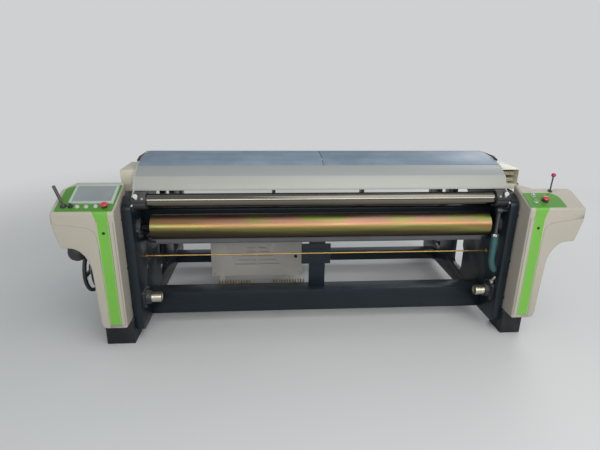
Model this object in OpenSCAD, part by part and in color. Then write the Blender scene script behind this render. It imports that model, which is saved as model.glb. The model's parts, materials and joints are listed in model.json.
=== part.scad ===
// Power loom, shown without warp beam, heald frames and cloth roller.
// X runs across the loom, Y from the weaver's side (front) to the warp side (rear), Z up.
// Depths below are measured from the front plane of the towers.

/* [Loom] */
// Depth from the front plane of the towers to the rear edge of the side frames
loom_depth = 1450; // [1400:10:1600]
// Clear width between the inner faces of the two side frames
frame_gap = 2200; // [2000:20:2600]

/* [Side frames] */
// Thickness of the cast web
frame_web = 22; // [16:1:30]
// Width of the rim that stiffens the web, measured outwards
frame_rim_width = 50; // [40:1:56]
// Thickness of the rim in the plane of the frame
frame_rim = 26; // [18:1:34]
// Depth at which the front edge of the frame starts
frame_front = 112; // [100:1:125]
// Height of the bottom edge above the floor
frame_bottom = 60; // [40:1:80]
// Height of the top edge
frame_top = 900; // [880:1:905]
// Height of the rear hump that carries the back rest
hump_top = 960; // [940:1:980]
// Wall of the cast bosses round a bearing bore
boss_wall = 25; // [15:1:30]

/* [Feet] */
// Height of the welded foot boxes
foot_height = 150; // [120:1:151]
// Plate thickness of the foot boxes
foot_plate = 12; // [8:1:16]
// Thickness of the base plates on the floor
foot_base = 20; // [12:1:30]
// Radius of the anchor hole in each base plate
anchor_r = 9; // [6:0.5:12]

/* [Beams] */
// Wall of the square tube beams
beam_wall = 8; // [5:1:12]
// Depth at which the front face of the front lower beam lies
low_beam_front = 300; // [298:1:330]
// Depth of the front lower beam from front to rear
low_beam_deep = 110; // [90:1:130]
// Height of the underside of the front lower beam
low_beam_bottom = 75; // [65:1:90]
// Height of the top of the front lower beam
low_beam_top = 225; // [200:1:235]
// Height of the crease along its front face
low_beam_crease = 172; // [150:1:190]
// Underside of the front upper beam
high_beam_bottom = 620; // [600:1:660]
// Top of the front upper beam
high_beam_top = 780; // [740:1:800]
// Width of the centre post
post_width = 103; // [80:1:120]
// Distance from the rear edge of the frames to the front of the rear lower beam
rear_low_in = 300; // [280:5:320]
// Same distance to the front of the rear upper beam
rear_high_in = 330; // [320:5:350]

/* [Rollers] */
// Radius of the chromed breast tube
breast_r = 38; // [30:0.5:42]
// Gap from each frame to the end of the breast tube
breast_inset = 14; // [8:1:30]
// Radius of the take-up roller
take_up_r = 74; // [60:0.5:78]
// Distance from each frame to the end of the take-up roller
take_up_inset = 86; // [75:1:100]
// Radius of the rubber press roller
press_r = 33; // [25:0.5:36]
// Radius of the back rest roller
back_rest_r = 60; // [45:1:62]
// Radial clearance of every running fit
run_clear = 0.05; // [0.03:0.01:0.09]

/* [Towers] */
// Wall of the moulded tower covers
cover_wall = 4; // [3:0.5:5]
// Radius of the moulded front edges
cover_edge = 9; // [7:0.5:11]
// Gap from the side frame's inner face to the tower's inner side
tower_in = 58; // [56:1:66]
// Same gap to the outer side of the tower's column
column_out = 201; // [190:1:215]
// Same gap to the outer side of the head
head_out = 389; // [370:1:400]
// Height of the bottom of the tower covers
cover_bottom = 152; // [152:1:170]
// Height of the underside of the head
head_under = 652; // [640:1:665]
// Height of the head's front top edge
head_front_z = 855; // [845:1:865]
// Tilt of the head's top, in degrees
head_tilt = 24.6; // [20:0.1:28]
// Depth of the column
column_deep = 140; // [130:1:148]
// Depth of the left head, which holds the screen
left_head_deep = 240; // [236:1:250]
// Depth of the right head
right_head_deep = 168; // [165:1:180]
// Width of the green stripe
stripe_width = 63; // [50:1:66]
// Thickness of the green stripe and panels
trim_thick = 1.5; // [1:0.1:2]

/* [Top cover] */
// Thickness of the bent cover sheets
sheet = 3; // [2:0.5:4]
// Highest point of the lids
lid_top = 1091; // [1080:1:1100]
// Radius of the hinge rod of the lids
hinge_r = 6; // [5:0.5:7]

/* [Sley] */
// Radius of the rocking shaft
rocker_r = 45; // [35:1:50]
// Length of the reed
reed_length = 1900; // [1500:10:1960]
// Number of dents drawn in the reed
dents = 96; // [40:1:110]

/* [Drive] */
// Radius of the handwheel to the middle of its rim
wheel_r = 140; // [120:1:150]
// Radius of the driven belt pulley
main_pulley_r = 120; // [90:1:130]
// Radius of the motor pulley
motor_pulley_r = 48; // [35:1:55]
// Width of the belt pulleys
pulley_width = 46; // [30:1:48]

/* [Cabinet] */
// Width of the electric cabinet
cabinet_width = 690; // [500:10:720]
// Height of the cabinet's top
cabinet_top = 560; // [480:5:590]
// Depth of the cabinet from front to rear
cabinet_deep = 225; // [180:5:235]
// Space between the cabinet and the rear lower beam
cabinet_space = 103; // [90:1:110]
// Rows of louvre slots on each side of its middle
louvre_rows = 5; // [3:1:6]
// Springs in each of the two banks that pull the healds down
springs_per_bank = 12; // [6:1:14]

/* [Hidden] */

$fn = 48;
half = frame_gap / 2;
// Gap between flat faces of pieces that move past each other
slide_gap = 0.5;
// Gap that keeps curved neighbours apart
near_gap = 0.3;

cream = [0.75, 0.73, 0.69];
frame_paint = [0.17, 0.20, 0.24];
black = [0.07, 0.07, 0.08];
green = [0.36, 0.65, 0.22];
silver = [0.75, 0.76, 0.78];

// Places of the shafts, each as [depth, height]
breast_at = [190, 872];
take_up_at = [210, 705];
press_angle = 61;
press_gap = take_up_r + press_r + near_gap;
press_at = [take_up_at.x + press_gap * cos(press_angle), take_up_at.y - press_gap * sin(press_angle)];
arm_pivot = [400, 560];
release_at = [150, 803];
chuck_at = [200, 250];
rocker_at = [560, 590];
wheel_at = [330, 400];
motor_at = [950, 330];
back_rest_at = [loom_depth - 120, 895];
cradle_at = [loom_depth - 80, 520];

// Basic geometry
function unit(v) = v / norm(v);
function turn_between(a, b) = let (t = b - a) t > 180 ? t - 360 : (t < -180 ? t + 360 : t);

// Corner b of a path from a to c, rounded to radius r in n steps
function corner(a, b, c, r, n) = r == 0 ? [b] :
    let (u = unit(a - b))
    let (v = unit(c - b))
    let (bend = acos(u * v))
    let (m = b + unit(u + v) * r / sin(bend / 2))
    let (p = b + u * r / tan(bend / 2) - m)
    let (q = b + v * r / tan(bend / 2) - m)
    let (start = atan2(p.y, p.x))
    let (sweep = turn_between(start, atan2(q.y, q.x)))
    [for (i = [0 : n]) m + r * [cos(start + sweep * i / n), sin(start + sweep * i / n)]];

// Closed outline with its corners rounded; each entry of p is [x, y, radius]
function rounded(p, n = 4) = let (k = len(p))
    [for (i = [0 : k - 1])
        let (a = p[(i + k - 1) % k])
        let (b = p[i])
        let (c = p[(i + 1) % k])
        each corner([a.x, a.y], [b.x, b.y], [c.x, c.y], b[2], n)];

// Outline moved inwards by t; p runs anticlockwise
function inset(p, t) = let (k = len(p))
    [for (i = [0 : k - 1])
        let (u = unit(p[i] - p[(i + k - 1) % k]))
        let (v = unit(p[(i + 1) % k] - p[i]))
        let (m = [-u.y - v.y, u.x + v.x])
        p[i] + m * t / (1 + u * v)];

// Bent sheet of thickness t along an open path, laid on the left of its direction
function bent_sheet(p, t) = let (k = len(p))
    let (side = [for (i = [0 : k - 1])
        let (u = i == 0 ? unit(p[1] - p[0]) : unit(p[i] - p[i - 1]))
        let (v = i == k - 1 ? u : unit(p[i + 1] - p[i]))
        p[i] + [-u.y - v.y, u.x + v.x] * t / (1 + u * v)])
    concat(p, [for (i = [k - 1 : -1 : 0]) side[i]]);

// Everything is drawn from the towers' front plane and then centred on the depth
module placed() {
    translate([0, -loom_depth / 2, 0]) children();
}

module right_side() {
    translate([half, 0, 0]) children();
}

module left_side() {
    mirror([1, 0, 0]) right_side() children();
}

module both_sides() {
    right_side() children();
    left_side() children();
}

// Outline in depth and height, extruded along X
module slab_x(x0, x1, outline) {
    translate([x0, 0, 0]) rotate([90, 0, 90]) linear_extrude(x1 - x0) polygon(outline);
}

// Outline in X and height, extruded along the depth
module slab_y(y0, y1, outline) {
    translate([0, y1, 0]) rotate([90, 0, 0]) linear_extrude(y1 - y0) polygon(outline);
}

module rod_x(x0, x1, at, r) {
    translate([x0, at.x, at.y]) rotate([0, 90, 0]) cylinder(h = x1 - x0, r = r);
}

module rod_y(y0, y1, x, z, r) {
    translate([x, y0, z]) rotate([-90, 0, 0]) cylinder(h = y1 - y0, r = r);
}

module block(x0, x1, y0, y1, z0, z1) {
    translate([x0, y0, z0]) cube([x1 - x0, y1 - y0, z1 - z0]);
}

function rect(y0, y1, z0, z1, r = 0) = rounded([[y0, z0, r], [y1, z0, r], [y1, z1, r], [y0, z1, r]]);

// Hexagon bolt head standing on the plane x = x0
module bolt_x(x0, at, r, h) {
    translate([x0, at.x, at.y]) rotate([0, 90, 0]) cylinder(h = h, r = r, $fn = 6);
}

module bolt_y(y1, x, z, r, h) {
    translate([x, y1 - h, z]) rotate([-90, 0, 0]) cylinder(h = h, r = r, $fn = 6);
}

// Side frames: a cast web with a deep rim, windows and bearing bosses
frame_outline = rounded([
    [frame_front, frame_bottom, 40],
    [loom_depth, frame_bottom, 40],
    [loom_depth, hump_top - 70, 40],
    [loom_depth - 45, hump_top, 40],
    [loom_depth - 195, hump_top, 40],
    [loom_depth - 275, frame_top, 40],
    [frame_front + 60, frame_top, 40],
    [frame_front, frame_top - 50, 40]]);
// Windows of the web: start and end depth, bottom and top
windows = [[640, 840, 180, 440], [1070, 1240, 180, 440], [690, 940, 560, 800], [990, 1240, 560, 800]];
window_edge = 16;
journal_r = 20;
rocker_journal_r = 30;
shaft_r = 22;
arm_pin_r = 12;
arm_pin_out = 64;
release_pin_r = 8;
release_pin_out = 66;
pad_r = 11;
motor_pad = [870, 1030, 190, 270];

module frame_boss(at, bore_r) {
    rod_x(0, frame_rim_width, at, bore_r + boss_wall);
}

module frame_casting() {
    slab_x(0, frame_web, frame_outline);
    difference() {
        slab_x(0, frame_rim_width, frame_outline);
        slab_x(-1, frame_rim_width + 1, inset(frame_outline, frame_rim));
    }
    for (w = windows) slab_x(0, frame_rim_width - 10, rect(w[0] - window_edge, w[1] + window_edge,
        w[2] - window_edge, w[3] + window_edge, 50));
    for (z = [320, 500, 860]) slab_x(0, frame_rim_width - 10, rect(frame_front + 8, 640, z, z + 16));
    slab_x(0, frame_rim_width, rect(motor_pad[0], motor_pad[1], motor_pad[2], motor_pad[3]));
    frame_boss(take_up_at, journal_r);
    frame_boss(rocker_at, rocker_journal_r);
    frame_boss(back_rest_at, journal_r);
    frame_boss(wheel_at, shaft_r);
    // Pads that the tower cover is screwed to
    for (z = [230, 480, 780]) rod_x(0, tower_in, [frame_front + frame_rim / 2, z], pad_r);
}

module side_frame(shaft_bore) {
    difference() {
        frame_casting();
        for (w = windows) slab_x(-1, frame_rim_width + 1, rect(w[0], w[1], w[2], w[3], 36));
        for (at = [take_up_at, back_rest_at]) rod_x(-1, frame_rim_width + 1, at, journal_r + run_clear);
        rod_x(-1, frame_rim_width + 1, rocker_at, rocker_journal_r + run_clear);
        if (shaft_bore) rod_x(-1, frame_rim_width + 1, wheel_at, shaft_r + run_clear);
    }
    // Pin that the arm of the press roller turns on
    rod_x(-arm_pin_out, 0, arm_pivot, arm_pin_r);
}

module left_side_frame() {
    color(frame_paint) placed() left_side() side_frame(true);
}

module right_side_frame() {
    color(frame_paint) placed() right_side() {
        side_frame(false);
        rod_x(-release_pin_out, 0, release_at, release_pin_r);
    }
}

// Beams between the frames, all of folded or rolled tube, and butted against the frames
module tube_beam(outline, wall) {
    difference() {
        slab_x(-half, half, outline);
        slab_x(-half - 1, half + 1, inset(outline, wall));
    }
}

low_beam_rear = low_beam_front + low_beam_deep;
high_beam_front = 340;
high_beam_rear = 440;

module front_lower_beam() {
    step = 7;
    color(frame_paint) placed() {
        tube_beam([[low_beam_front + step, low_beam_bottom], [low_beam_rear, low_beam_bottom],
            [low_beam_rear, low_beam_top], [low_beam_front, low_beam_top],
            [low_beam_front, low_beam_crease], [low_beam_front + step, low_beam_crease - step]], beam_wall);
        for (x = [-57, 34]) bolt_y(low_beam_front, x, low_beam_top - 14, 9, 7);
    }
}

module front_upper_beam() {
    color(frame_paint) placed()
        tube_beam(rect(high_beam_front, high_beam_rear, high_beam_bottom, high_beam_top, 14), beam_wall);
}

post_left = -68;
post_front = 360;
plate_thick = 8;

module centre_post() {
    color(frame_paint) placed() {
        difference() {
            block(post_left, post_left + post_width, post_front, low_beam_rear, low_beam_top, high_beam_bottom);
            block(post_left + beam_wall, post_left + post_width - beam_wall, post_front + beam_wall,
                low_beam_rear + 1, low_beam_top + beam_wall, high_beam_bottom - beam_wall);
        }
        // Splice plate with its two bolts
        block(post_left - 53, post_left + post_width + 34, post_front - plate_thick, post_front, 388, 528);
        for (x = [post_left + 8, post_left + post_width + 6]) bolt_y(post_front - plate_thick, x, 444, 11, 8);
    }
}

// Start and end depth, bottom and top of each rear beam
rear_low = [loom_depth - rear_low_in, loom_depth - rear_low_in + 100, 65, 150];
rear_high = [loom_depth - rear_high_in, loom_depth - rear_high_in + 80, frame_top - 100, frame_top - 20];

module rear_beams() {
    color(frame_paint) placed() {
        tube_beam(rect(rear_low[0], rear_low[1], rear_low[2], rear_low[3], 14), beam_wall);
        tube_beam(rect(rear_high[0], rear_high[1], rear_high[2], rear_high[3], 14), beam_wall);
    }
}

// Feet: welded boxes bolted to the outside of the frames, open behind for the anchor bolt
foot_deep = 150;
front_foot_start = 80;
anchor_u = 113;
anchor_in = 110;

module foot(u0, u1) {
    difference() {
        union() {
            block(u0, u1, 0, foot_deep, 0, foot_base);
            block(u0, u1, 0, foot_plate, foot_base, foot_height);
            block(u0, u1, foot_plate, foot_deep / 2, foot_height - foot_plate, foot_height);
            for (u = [u0, u1 - foot_plate])
                slab_x(u, u + foot_plate, [[foot_plate, foot_base], [foot_deep, foot_base],
                    [foot_deep, foot_base + 30], [foot_deep / 2, foot_height - foot_plate],
                    [foot_plate, foot_height - foot_plate]]);
        }
        translate([anchor_u, anchor_in, -1]) cylinder(h = foot_base + 2, r = anchor_r);
    }
}

module rear_foot() {
    translate([0, loom_depth - front_foot_start + 70, 0]) mirror([0, 1, 0]) foot(frame_rim_width, 176);
}

module feet() {
    color(black) placed() {
        right_side() translate([0, front_foot_start, 0]) foot(frame_rim_width, 176);
        left_side() translate([0, front_foot_start, 0]) foot(frame_rim_width, 215);
        both_sides() rear_foot();
    }
}

// Half-round seats for the warp beam's journals, open at the top and to the rear
cradle_r = 50;
cradle_wall = 22;
cradle_wide = 60;

module cradle() {
    difference() {
        union() {
            rod_x(-cradle_wide, 0, cradle_at, cradle_r + cradle_wall);
            slab_x(-cradle_wide, 0, rect(cradle_at.x - cradle_r - cradle_wall, cradle_at.x + cradle_r
                + cradle_wall, cradle_at.y - 110, cradle_at.y));
        }
        rod_x(-cradle_wide - 1, 1, cradle_at, cradle_r);
        slab_x(-cradle_wide - 1, 1, rect(cradle_at.x - cradle_r, cradle_at.x + cradle_r,
            cradle_at.y, cradle_at.y + 2 * cradle_r));
        slab_x(-cradle_wide - 1, 1, rect(cradle_at.x - 2 * cradle_r, cradle_at.x + 2 * cradle_r,
            cradle_at.y + 12, cradle_at.y + 2 * cradle_r));
    }
}

module beam_cradles() {
    color(frame_paint) placed() both_sides() cradle();
}

// Gear cases: oil-tight castings bolted to the outside of the frames
case_outer = 190;
case_outline = rounded([[290, 300, 60], [760, 300, 60], [760, 700, 90], [640, 850, 60], [420, 850, 60],
    [290, 640, 60]]);
case_bolt_r = 9;

module gear_case(shaft_bore) {
    difference() {
        union() {
            slab_x(frame_rim_width, case_outer - 24, case_outline);
            slab_x(case_outer - 24, case_outer - 12, inset(case_outline, -10));
            slab_x(case_outer - 12, case_outer, inset(case_outline, 4));
            rod_x(frame_rim_width, case_outer + 40, wheel_at, shaft_r + boss_wall);
        }
        if (shaft_bore) rod_x(0, case_outer + 41, wheel_at, shaft_r + run_clear);
        if (!shaft_bore) rod_x(case_outer + 20, case_outer + 41, wheel_at, shaft_r);
    }
    bolts = inset(case_outline, 16);
    for (i = [2 : 5 : len(bolts) - 1]) bolt_x(case_outer, bolts[i], case_bolt_r, 7);
}

module gear_cases() {
    color(frame_paint) placed() {
        left_side() gear_case(true);
        right_side() gear_case(false);
    }
}

// Breast tube held at each end in a split clamp
clamp_in = 78;
clamp_r = 52;
clamp_slit = 4;

module breast_tube() {
    color(silver) placed() difference() {
        rod_x(-half + breast_inset, half - breast_inset, breast_at, breast_r);
        rod_x(-half, half, breast_at, breast_r - 4);
    }
}

module breast_clamp() {
    difference() {
        union() {
            rod_x(-clamp_in, -10, breast_at, clamp_r);
            block(-clamp_in, -10, breast_at.x - clamp_r - 8, breast_at.x + clamp_r, breast_at.y - 18,
                breast_at.y + 18);
            slab_x(-10, 0, rect(breast_at.x - clamp_r - 8, breast_at.x + clamp_r + 8,
                breast_at.y - clamp_r, frame_top - 4, 8));
        }
        rod_x(-clamp_in - 1, 1, breast_at, breast_r + run_clear);
        block(-clamp_in - 1, -10, breast_at.x - 100, breast_at.x, breast_at.y - clamp_slit / 2,
            breast_at.y + clamp_slit / 2);
    }
    // Clamp screws and the big plug of the upper half
    for (x = [-clamp_in + 18, -28]) rod_z(x, breast_at.x - clamp_r + 2, breast_at.y + 18, 8, 8);
    rod_y(breast_at.x - clamp_r - 2, breast_at.x - 30, -27, breast_at.y + 38, 12);
}

module rod_z(x, y, z0, r, h) {
    translate([x, y, z0]) cylinder(h = h, r = r);
}

module breast_clamps() {
    color(black) placed() both_sides() breast_clamp();
}

// Take-up roller, a turned drum with a journal at each end
module take_up_roller() {
    color([0.78, 0.62, 0.28]) placed() {
        drum = half - take_up_inset;
        rod_x(-drum, drum, take_up_at, take_up_r);
        for (s = [-1, 1]) translate([s * half, 0, 0]) mirror([s > 0 ? 0 : 1, 0, 0]) {
            rod_x(-take_up_inset, -take_up_inset + 14, take_up_at, journal_r + 14);
            rod_x(-take_up_inset, frame_rim_width - 4, take_up_at, journal_r);
        }
    }
}

// Flanged bearings of the take-up roller and the housings of the cloth roller chucks
flange_thick = 16;
chuck_r = 31;
chuck_shaft_r = 18;
house_out = 44;

module bearing_flange() {
    difference() {
        union() {
            slab_x(-flange_thick, 0, rounded([for (a = [0 : 120 : 240])
                [take_up_at.x + 62 * cos(a + 90), take_up_at.y + 62 * sin(a + 90), 14]]));
            rod_x(-flange_thick - 8, 0, take_up_at, journal_r + 18);
        }
        rod_x(-flange_thick - 9, 1, take_up_at, journal_r + run_clear);
    }
    for (a = [0 : 120 : 240])
        bolt_x(-flange_thick - 6, [take_up_at.x + 46 * cos(a + 90), take_up_at.y + 46 * sin(a + 90)], 8, 6);
}

module chuck_housing() {
    difference() {
        union() {
            rod_x(-house_out, 0, chuck_at, chuck_shaft_r + 22);
            slab_x(-14, 0, rect(chuck_at.x - 55, chuck_at.x + 55, chuck_at.y - 55, chuck_at.y + 55, 12));
        }
        rod_x(-house_out - 1, 1, chuck_at, chuck_shaft_r + run_clear);
    }
    for (y = [-42, 42]) for (z = [-42, 42]) bolt_x(-20, [chuck_at.x + y, chuck_at.y + z], 8, 6);
}

latch_at = [chuck_at.x - 30, chuck_at.y + 72];
latch_pin_r = 7;

module bearing_housings() {
    color([0.20, 0.22, 0.25]) placed() {
        both_sides() {
            bearing_flange();
            chuck_housing();
        }
        right_side() rod_x(-26, 0, latch_at, latch_pin_r);
    }
}

// Arms that carry the rubber press roller up against the take-up roller
arm_in = 62;
arm_thick = 16;
press_journal_r = 12;

module press_arm() {
    difference() {
        union() {
            rod_x(-arm_in, -arm_in + 34, arm_pivot, arm_pin_r + 14);
            rod_x(-arm_in, -arm_in + arm_thick, press_at, press_journal_r + 12);
            arm_dir = unit(press_at - arm_pivot);
            arm_side = [-arm_dir.y, arm_dir.x];
            slab_x(-arm_in, -arm_in + arm_thick, [arm_pivot + arm_side * 20, arm_pivot - arm_side * 20,
                press_at - arm_side * 16, press_at + arm_side * 16]);
        }
        rod_x(-arm_in - 1, 1, arm_pivot, arm_pin_r + run_clear);
        rod_x(-arm_in - 1, 1, press_at, press_journal_r + run_clear);
    }
}

module press_arms() {
    color(frame_paint) placed() both_sides() press_arm();
}

module press_roller() {
    color([0.32, 0.33, 0.34]) placed() {
        drum = half - take_up_inset - 6;
        rod_x(-drum, drum, press_at, press_r);
        rod_x(-half + arm_in - arm_thick + 8, half - arm_in + arm_thick - 8, press_at, press_journal_r);
    }
}

// Hand lever that lowers the press roller; it hangs in front of the right frame
release_hub_r = 17;
release_in = 64;
release_mid = -48;
grip_top = 640;
grip_bend_z = 500;

module release_lever() {
    color([0.35, 0.36, 0.38]) placed() right_side() {
        difference() {
            rod_x(-release_in, -release_in + 30, release_at, release_hub_r);
            rod_x(-release_in - 1, 0, release_at, release_pin_r + run_clear);
        }
        rod_z(release_mid, release_at.x, grip_top, 12, release_at.y - grip_top - release_hub_r + 4);
        rod_z(release_mid, release_at.x, grip_top, 17, 14);
    }
}

module release_grip() {
    color([0.18, 0.38, 0.38]) placed() right_side() {
        translate([release_mid, release_at.x, grip_bend_z])
            cylinder(h = grip_top - grip_bend_z, r1 = 18.6, r2 = 21);
        // The lower end curves outwards
        bend_r = 150;
        translate([release_mid + bend_r, release_at.x, grip_bend_z]) rotate([90, 0, 0])
            rotate([0, 0, 180]) rotate_extrude(angle = 34) translate([bend_r, 0]) circle(r = 19);
        translate([release_mid + bend_r - bend_r * cos(34), release_at.x, grip_bend_z - bend_r * sin(34)])
            sphere(r = 18);
    }
}

// Chucks that take the square ends of the cloth roller
chuck_in = 104;
chuck_bore_r = 16;
chuck_bore_deep = 44;

module chuck() {
    difference() {
        union() {
            rod_x(-chuck_in, -house_out - near_gap, chuck_at, chuck_r);
            rod_x(-house_out - near_gap - 1, -8, chuck_at, chuck_shaft_r);
        }
        rod_x(-chuck_in - 1, -chuck_in + chuck_bore_deep, chuck_at, chuck_bore_r);
        rod_x(-chuck_in - 1, -chuck_in + 5, chuck_at, chuck_bore_r + 5);
        for (x = [-chuck_in + 14, -chuck_in + 30]) difference() {
            rod_x(x, x + 4, chuck_at, chuck_r + 1);
            rod_x(x - 1, x + 5, chuck_at, chuck_r - 2);
        }
    }
}

module left_chuck() {
    color(silver) placed() left_side() chuck();
}

module right_chuck() {
    color(silver) placed() right_side() chuck();
}

// Small lever that locks the right chuck
module chuck_latch() {
    color([0.80, 0.78, 0.70]) placed() right_side() translate([0, latch_at.x, latch_at.y]) {
        difference() {
            rod_x(-22, -6, [0, 0], latch_pin_r + 6);
            rod_x(-23, -5, [0, 0], latch_pin_r + run_clear);
        }
        rotate([38, 0, 0]) block(-20, -12, -5, 5, latch_pin_r + 3, 62);
    }
}

// Yellow passivated rod across the front
yellow_at = [300, 485];

module yellow_rod() {
    color([0.80, 0.65, 0.20]) placed() {
        rod_x(-half, half, yellow_at, 4.5);
        for (s = [-1, 1]) rod_x(s > 0 ? half - 12 : -half, s > 0 ? half : -half + 12, yellow_at, 11);
    }
}

// Top cover: a bent front fascia, two hinged lids, and a cheek plate at each end
cheek = 8;
cover_half = half - cheek;
fascia_path = [[232, 930], [190, 928], [190, 942], [226, 1000], [310, 1050], [311, 1034], [345, 1034]];
lid_front = 312;
hinge_at = [652, 1040];
lid_path = [[lid_front, 1036.5], [lid_front, 1053], [410, lid_top - 9], [530, lid_top - 1], [600, lid_top],
    [632, 1084], [652, 1068], [660, 1052]];
knuckle_r = hinge_r + 5;

module front_fascia() {
    color(cream) placed() slab_x(-cover_half, cover_half, bent_sheet([for (i = [len(fascia_path) - 1 : -1 : 0])
        fascia_path[i]], sheet));
}

module lid_cheeks() {
    color(cream) placed() {
        both_sides() slab_x(-cheek, 0, [[150, frame_top], [190, 926], [190, 942], [226, 1000], [310, 1050],
            [410, lid_top - 9], [530, lid_top - 1], [600, lid_top], [632, 1084], [652, 1068],
            [663, 1045], [663, frame_top - 1], [300, frame_top - 1], [300, frame_top]]);
        rod_x(-cover_half, cover_half, hinge_at, hinge_r);
    }
}

module lid(x0, x1) {
    slab_x(x0, x1, bent_sheet([for (i = [len(lid_path) - 1 : -1 : 0]) lid_path[i]], sheet));
    knuckle = 60;
    for (x = [x0 + 20, (x0 + x1 - knuckle) / 2, x1 - knuckle - 20]) difference() {
        union() {
            rod_x(x, x + knuckle, hinge_at, knuckle_r);
            slab_x(x, x + knuckle, [[hinge_at.x, hinge_at.y + 2],
                [hinge_at.x + knuckle_r - 0.5, hinge_at.y + 2],
                [659, 1053.5], [657, 1053.5], [650, 1062], [642, 1056]]);
        }
        rod_x(x - 1, x + knuckle + 1, hinge_at, hinge_r + run_clear);
    }
}

module left_lid() {
    color([0.62, 0.72, 0.84]) placed() lid(-cover_half + slide_gap, -1.5);
}

module right_lid() {
    color([0.62, 0.72, 0.84]) placed() lid(1.5, cover_half - slide_gap);
}

// Boxes for the wiring at both ends of the top cover; the right one is open in front
box_out = 124;
box_outline = [[300, frame_top], [560, frame_top], [560, 1006], [540, 1030], [300, 1026]];

module end_boxes() {
    color(cream) placed() {
        left_side() slab_x(0, box_out - 30, box_outline);
        right_side() {
            difference() {
                slab_x(0, box_out, box_outline);
                block(3, box_out - 3, 299, 520, 927, 1020);
            }
            // Terminal rows inside
            for (z = [945, 985]) block(12, box_out - 12, 400, 440, z, z + 14);
            block(12, box_out - 12, 440, 520, 940, 1010);
        }
    }
}

// Tower covers: lofted mouldings, L-shaped from the front, with a tilted top
head_slope = tan(head_tilt);
face = 3;
arch_u = 102;
arch_z = head_under - 500;
arch_at = [313, 500];
edge_steps = 3;

function top_z(d) = head_front_z + head_slope * d;

// Outline of a tower at depth d, from the bottom of its inner side round to its top
function tower_outline(d) = rounded(concat(
    [[tower_in, cover_bottom, 10], [column_out, cover_bottom, 28]],
    [for (a = [0 : 15 : 90]) [arch_at.x - arch_u * cos(a), arch_at.y + arch_z * sin(a), 0]],
    [[head_out - 30, head_under + 3, 14], [head_out + 1, 786, 30],
    [head_out - 1, top_z(d), 13], [tower_in, top_z(d), 12]]), 3);

function ring(d, t) = [for (p = inset(tower_outline(d), t)) [p.x, d, p.y]];

// Rings of a cover's surface t inside its outside: a quarter-round front edge, then straight back
function tower_rings(t, edge, deep) = concat(
    [for (i = [0 : edge_steps]) let (a = 90 * i / edge_steps)
        ring(face + t + edge * (1 - cos(a)), t + edge * (1 - sin(a)))],
    [ring(deep, t)]);

// Solid lofted through rings of equal count, from front to rear
module loft(rings) {
    n = len(rings[0]);
    m = len(rings);
    polyhedron(points = [for (r = rings) each r], faces = concat(
        [[for (i = [n - 1 : -1 : 0]) i], [for (i = [0 : n - 1]) (m - 1) * n + i]],
        [for (j = [0 : m - 2]) for (i = [0 : n - 1])
            [j * n + i, j * n + (i + 1) % n, (j + 1) * n + (i + 1) % n, (j + 1) * n + i]]));
}

// Plan lines of the heads' rear sides, from the outer side to the inner one
left_plan = [[420, 148], [388, 176], [316, left_head_deep], [40, left_head_deep]];
right_plan = [[420, 118], [386, 142], [358, right_head_deep], [150, right_head_deep],
    [40, right_head_deep + 52]];
shell_deep = 270;

module tower_shell() {
    difference() {
        loft(tower_rings(0, cover_edge, shell_deep));
        loft(tower_rings(cover_wall, cover_edge - cover_wall, shell_deep + 1));
    }
}

// Space behind the plan line of a head and behind the column
module behind(plan) {
    translate([0, 0, head_under - 12]) linear_extrude(600) polygon(concat([for (p = plan) p],
        [[plan[len(plan) - 1].x, 400], [plan[0].x, 400]]));
    block(0, 420, column_deep, 400, 0, head_under - 12);
}

module head_plane() {
    translate([0, 0, head_front_z]) rotate([head_tilt, 0, 0]) children();
}

// Local place on the tilted top for a point at distance u and depth d
module on_top(u, d) {
    head_plane() translate([u, d / cos(head_tilt), 0]) children();
}

stripe_u = 120;
lock_z = 740;
lock_r = 8;
hole_gap = 0.4;
rib_u = 68;
rib_width = 18;
seam_path = [[420, 800], [287, 785], [200, 770], [175, 757], [161, 727], [155, 645], [153, cover_bottom - 20]];

// Seam cut between the head's lid and the column, and the long rib beside the stripe
module seam() {
    slab_y(face - 1, face + 2, bent_sheet(seam_path, 2.5));
}

module rib() {
    slab_y(0.5, face + 1, rect(rib_u, rib_u + rib_width, cover_bottom + 20, 800, rib_width / 2.2));
}

button_r = 9;
stop_stem_r = 7;
knob_stem_r = 5;
left_buttons = [[255, 46], [208, 46], [159, 48]];
left_stop = [112, 45];
selector_at = [290, 46];
left_lever_at = [328, 52];
right_buttons = [[120, 108], [111, 58]];
right_stop = [169, 65];
right_lever_at = [243, 146];
left_ball_r = 11;
right_ball_r = 8;

module top_hole(at, r) {
    on_top(at.x, at.y) translate([0, 0, -30]) cylinder(h = 60, r = r);
}

module left_holes() {
    for (b = left_buttons) top_hole(b, button_r + hole_gap);
    top_hole(left_stop, stop_stem_r + hole_gap);
    top_hole(selector_at, knob_stem_r + hole_gap);
    top_hole(left_lever_at, left_ball_r + 1);
}

module right_holes() {
    for (b = right_buttons) top_hole(b, button_r + hole_gap);
    top_hole(right_stop, stop_stem_r + hole_gap);
    top_hole(right_lever_at, right_ball_r + 1);
}

module left_tower_cover() {
    color(cream) placed() left_side() {
        difference() {
            tower_shell();
            behind(left_plan);
            seam();
            left_holes();
            rod_y(-1, 20, stripe_u, lock_z, lock_r + hole_gap);
        }
        rib();
    }
}

module right_tower_cover() {
    color(cream) placed() right_side() {
        difference() {
            tower_shell();
            behind(right_plan);
            seam();
            right_holes();
            rod_y(-1, 20, stripe_u, lock_z, lock_r + hole_gap);
        }
        rib();
    }
}

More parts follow.
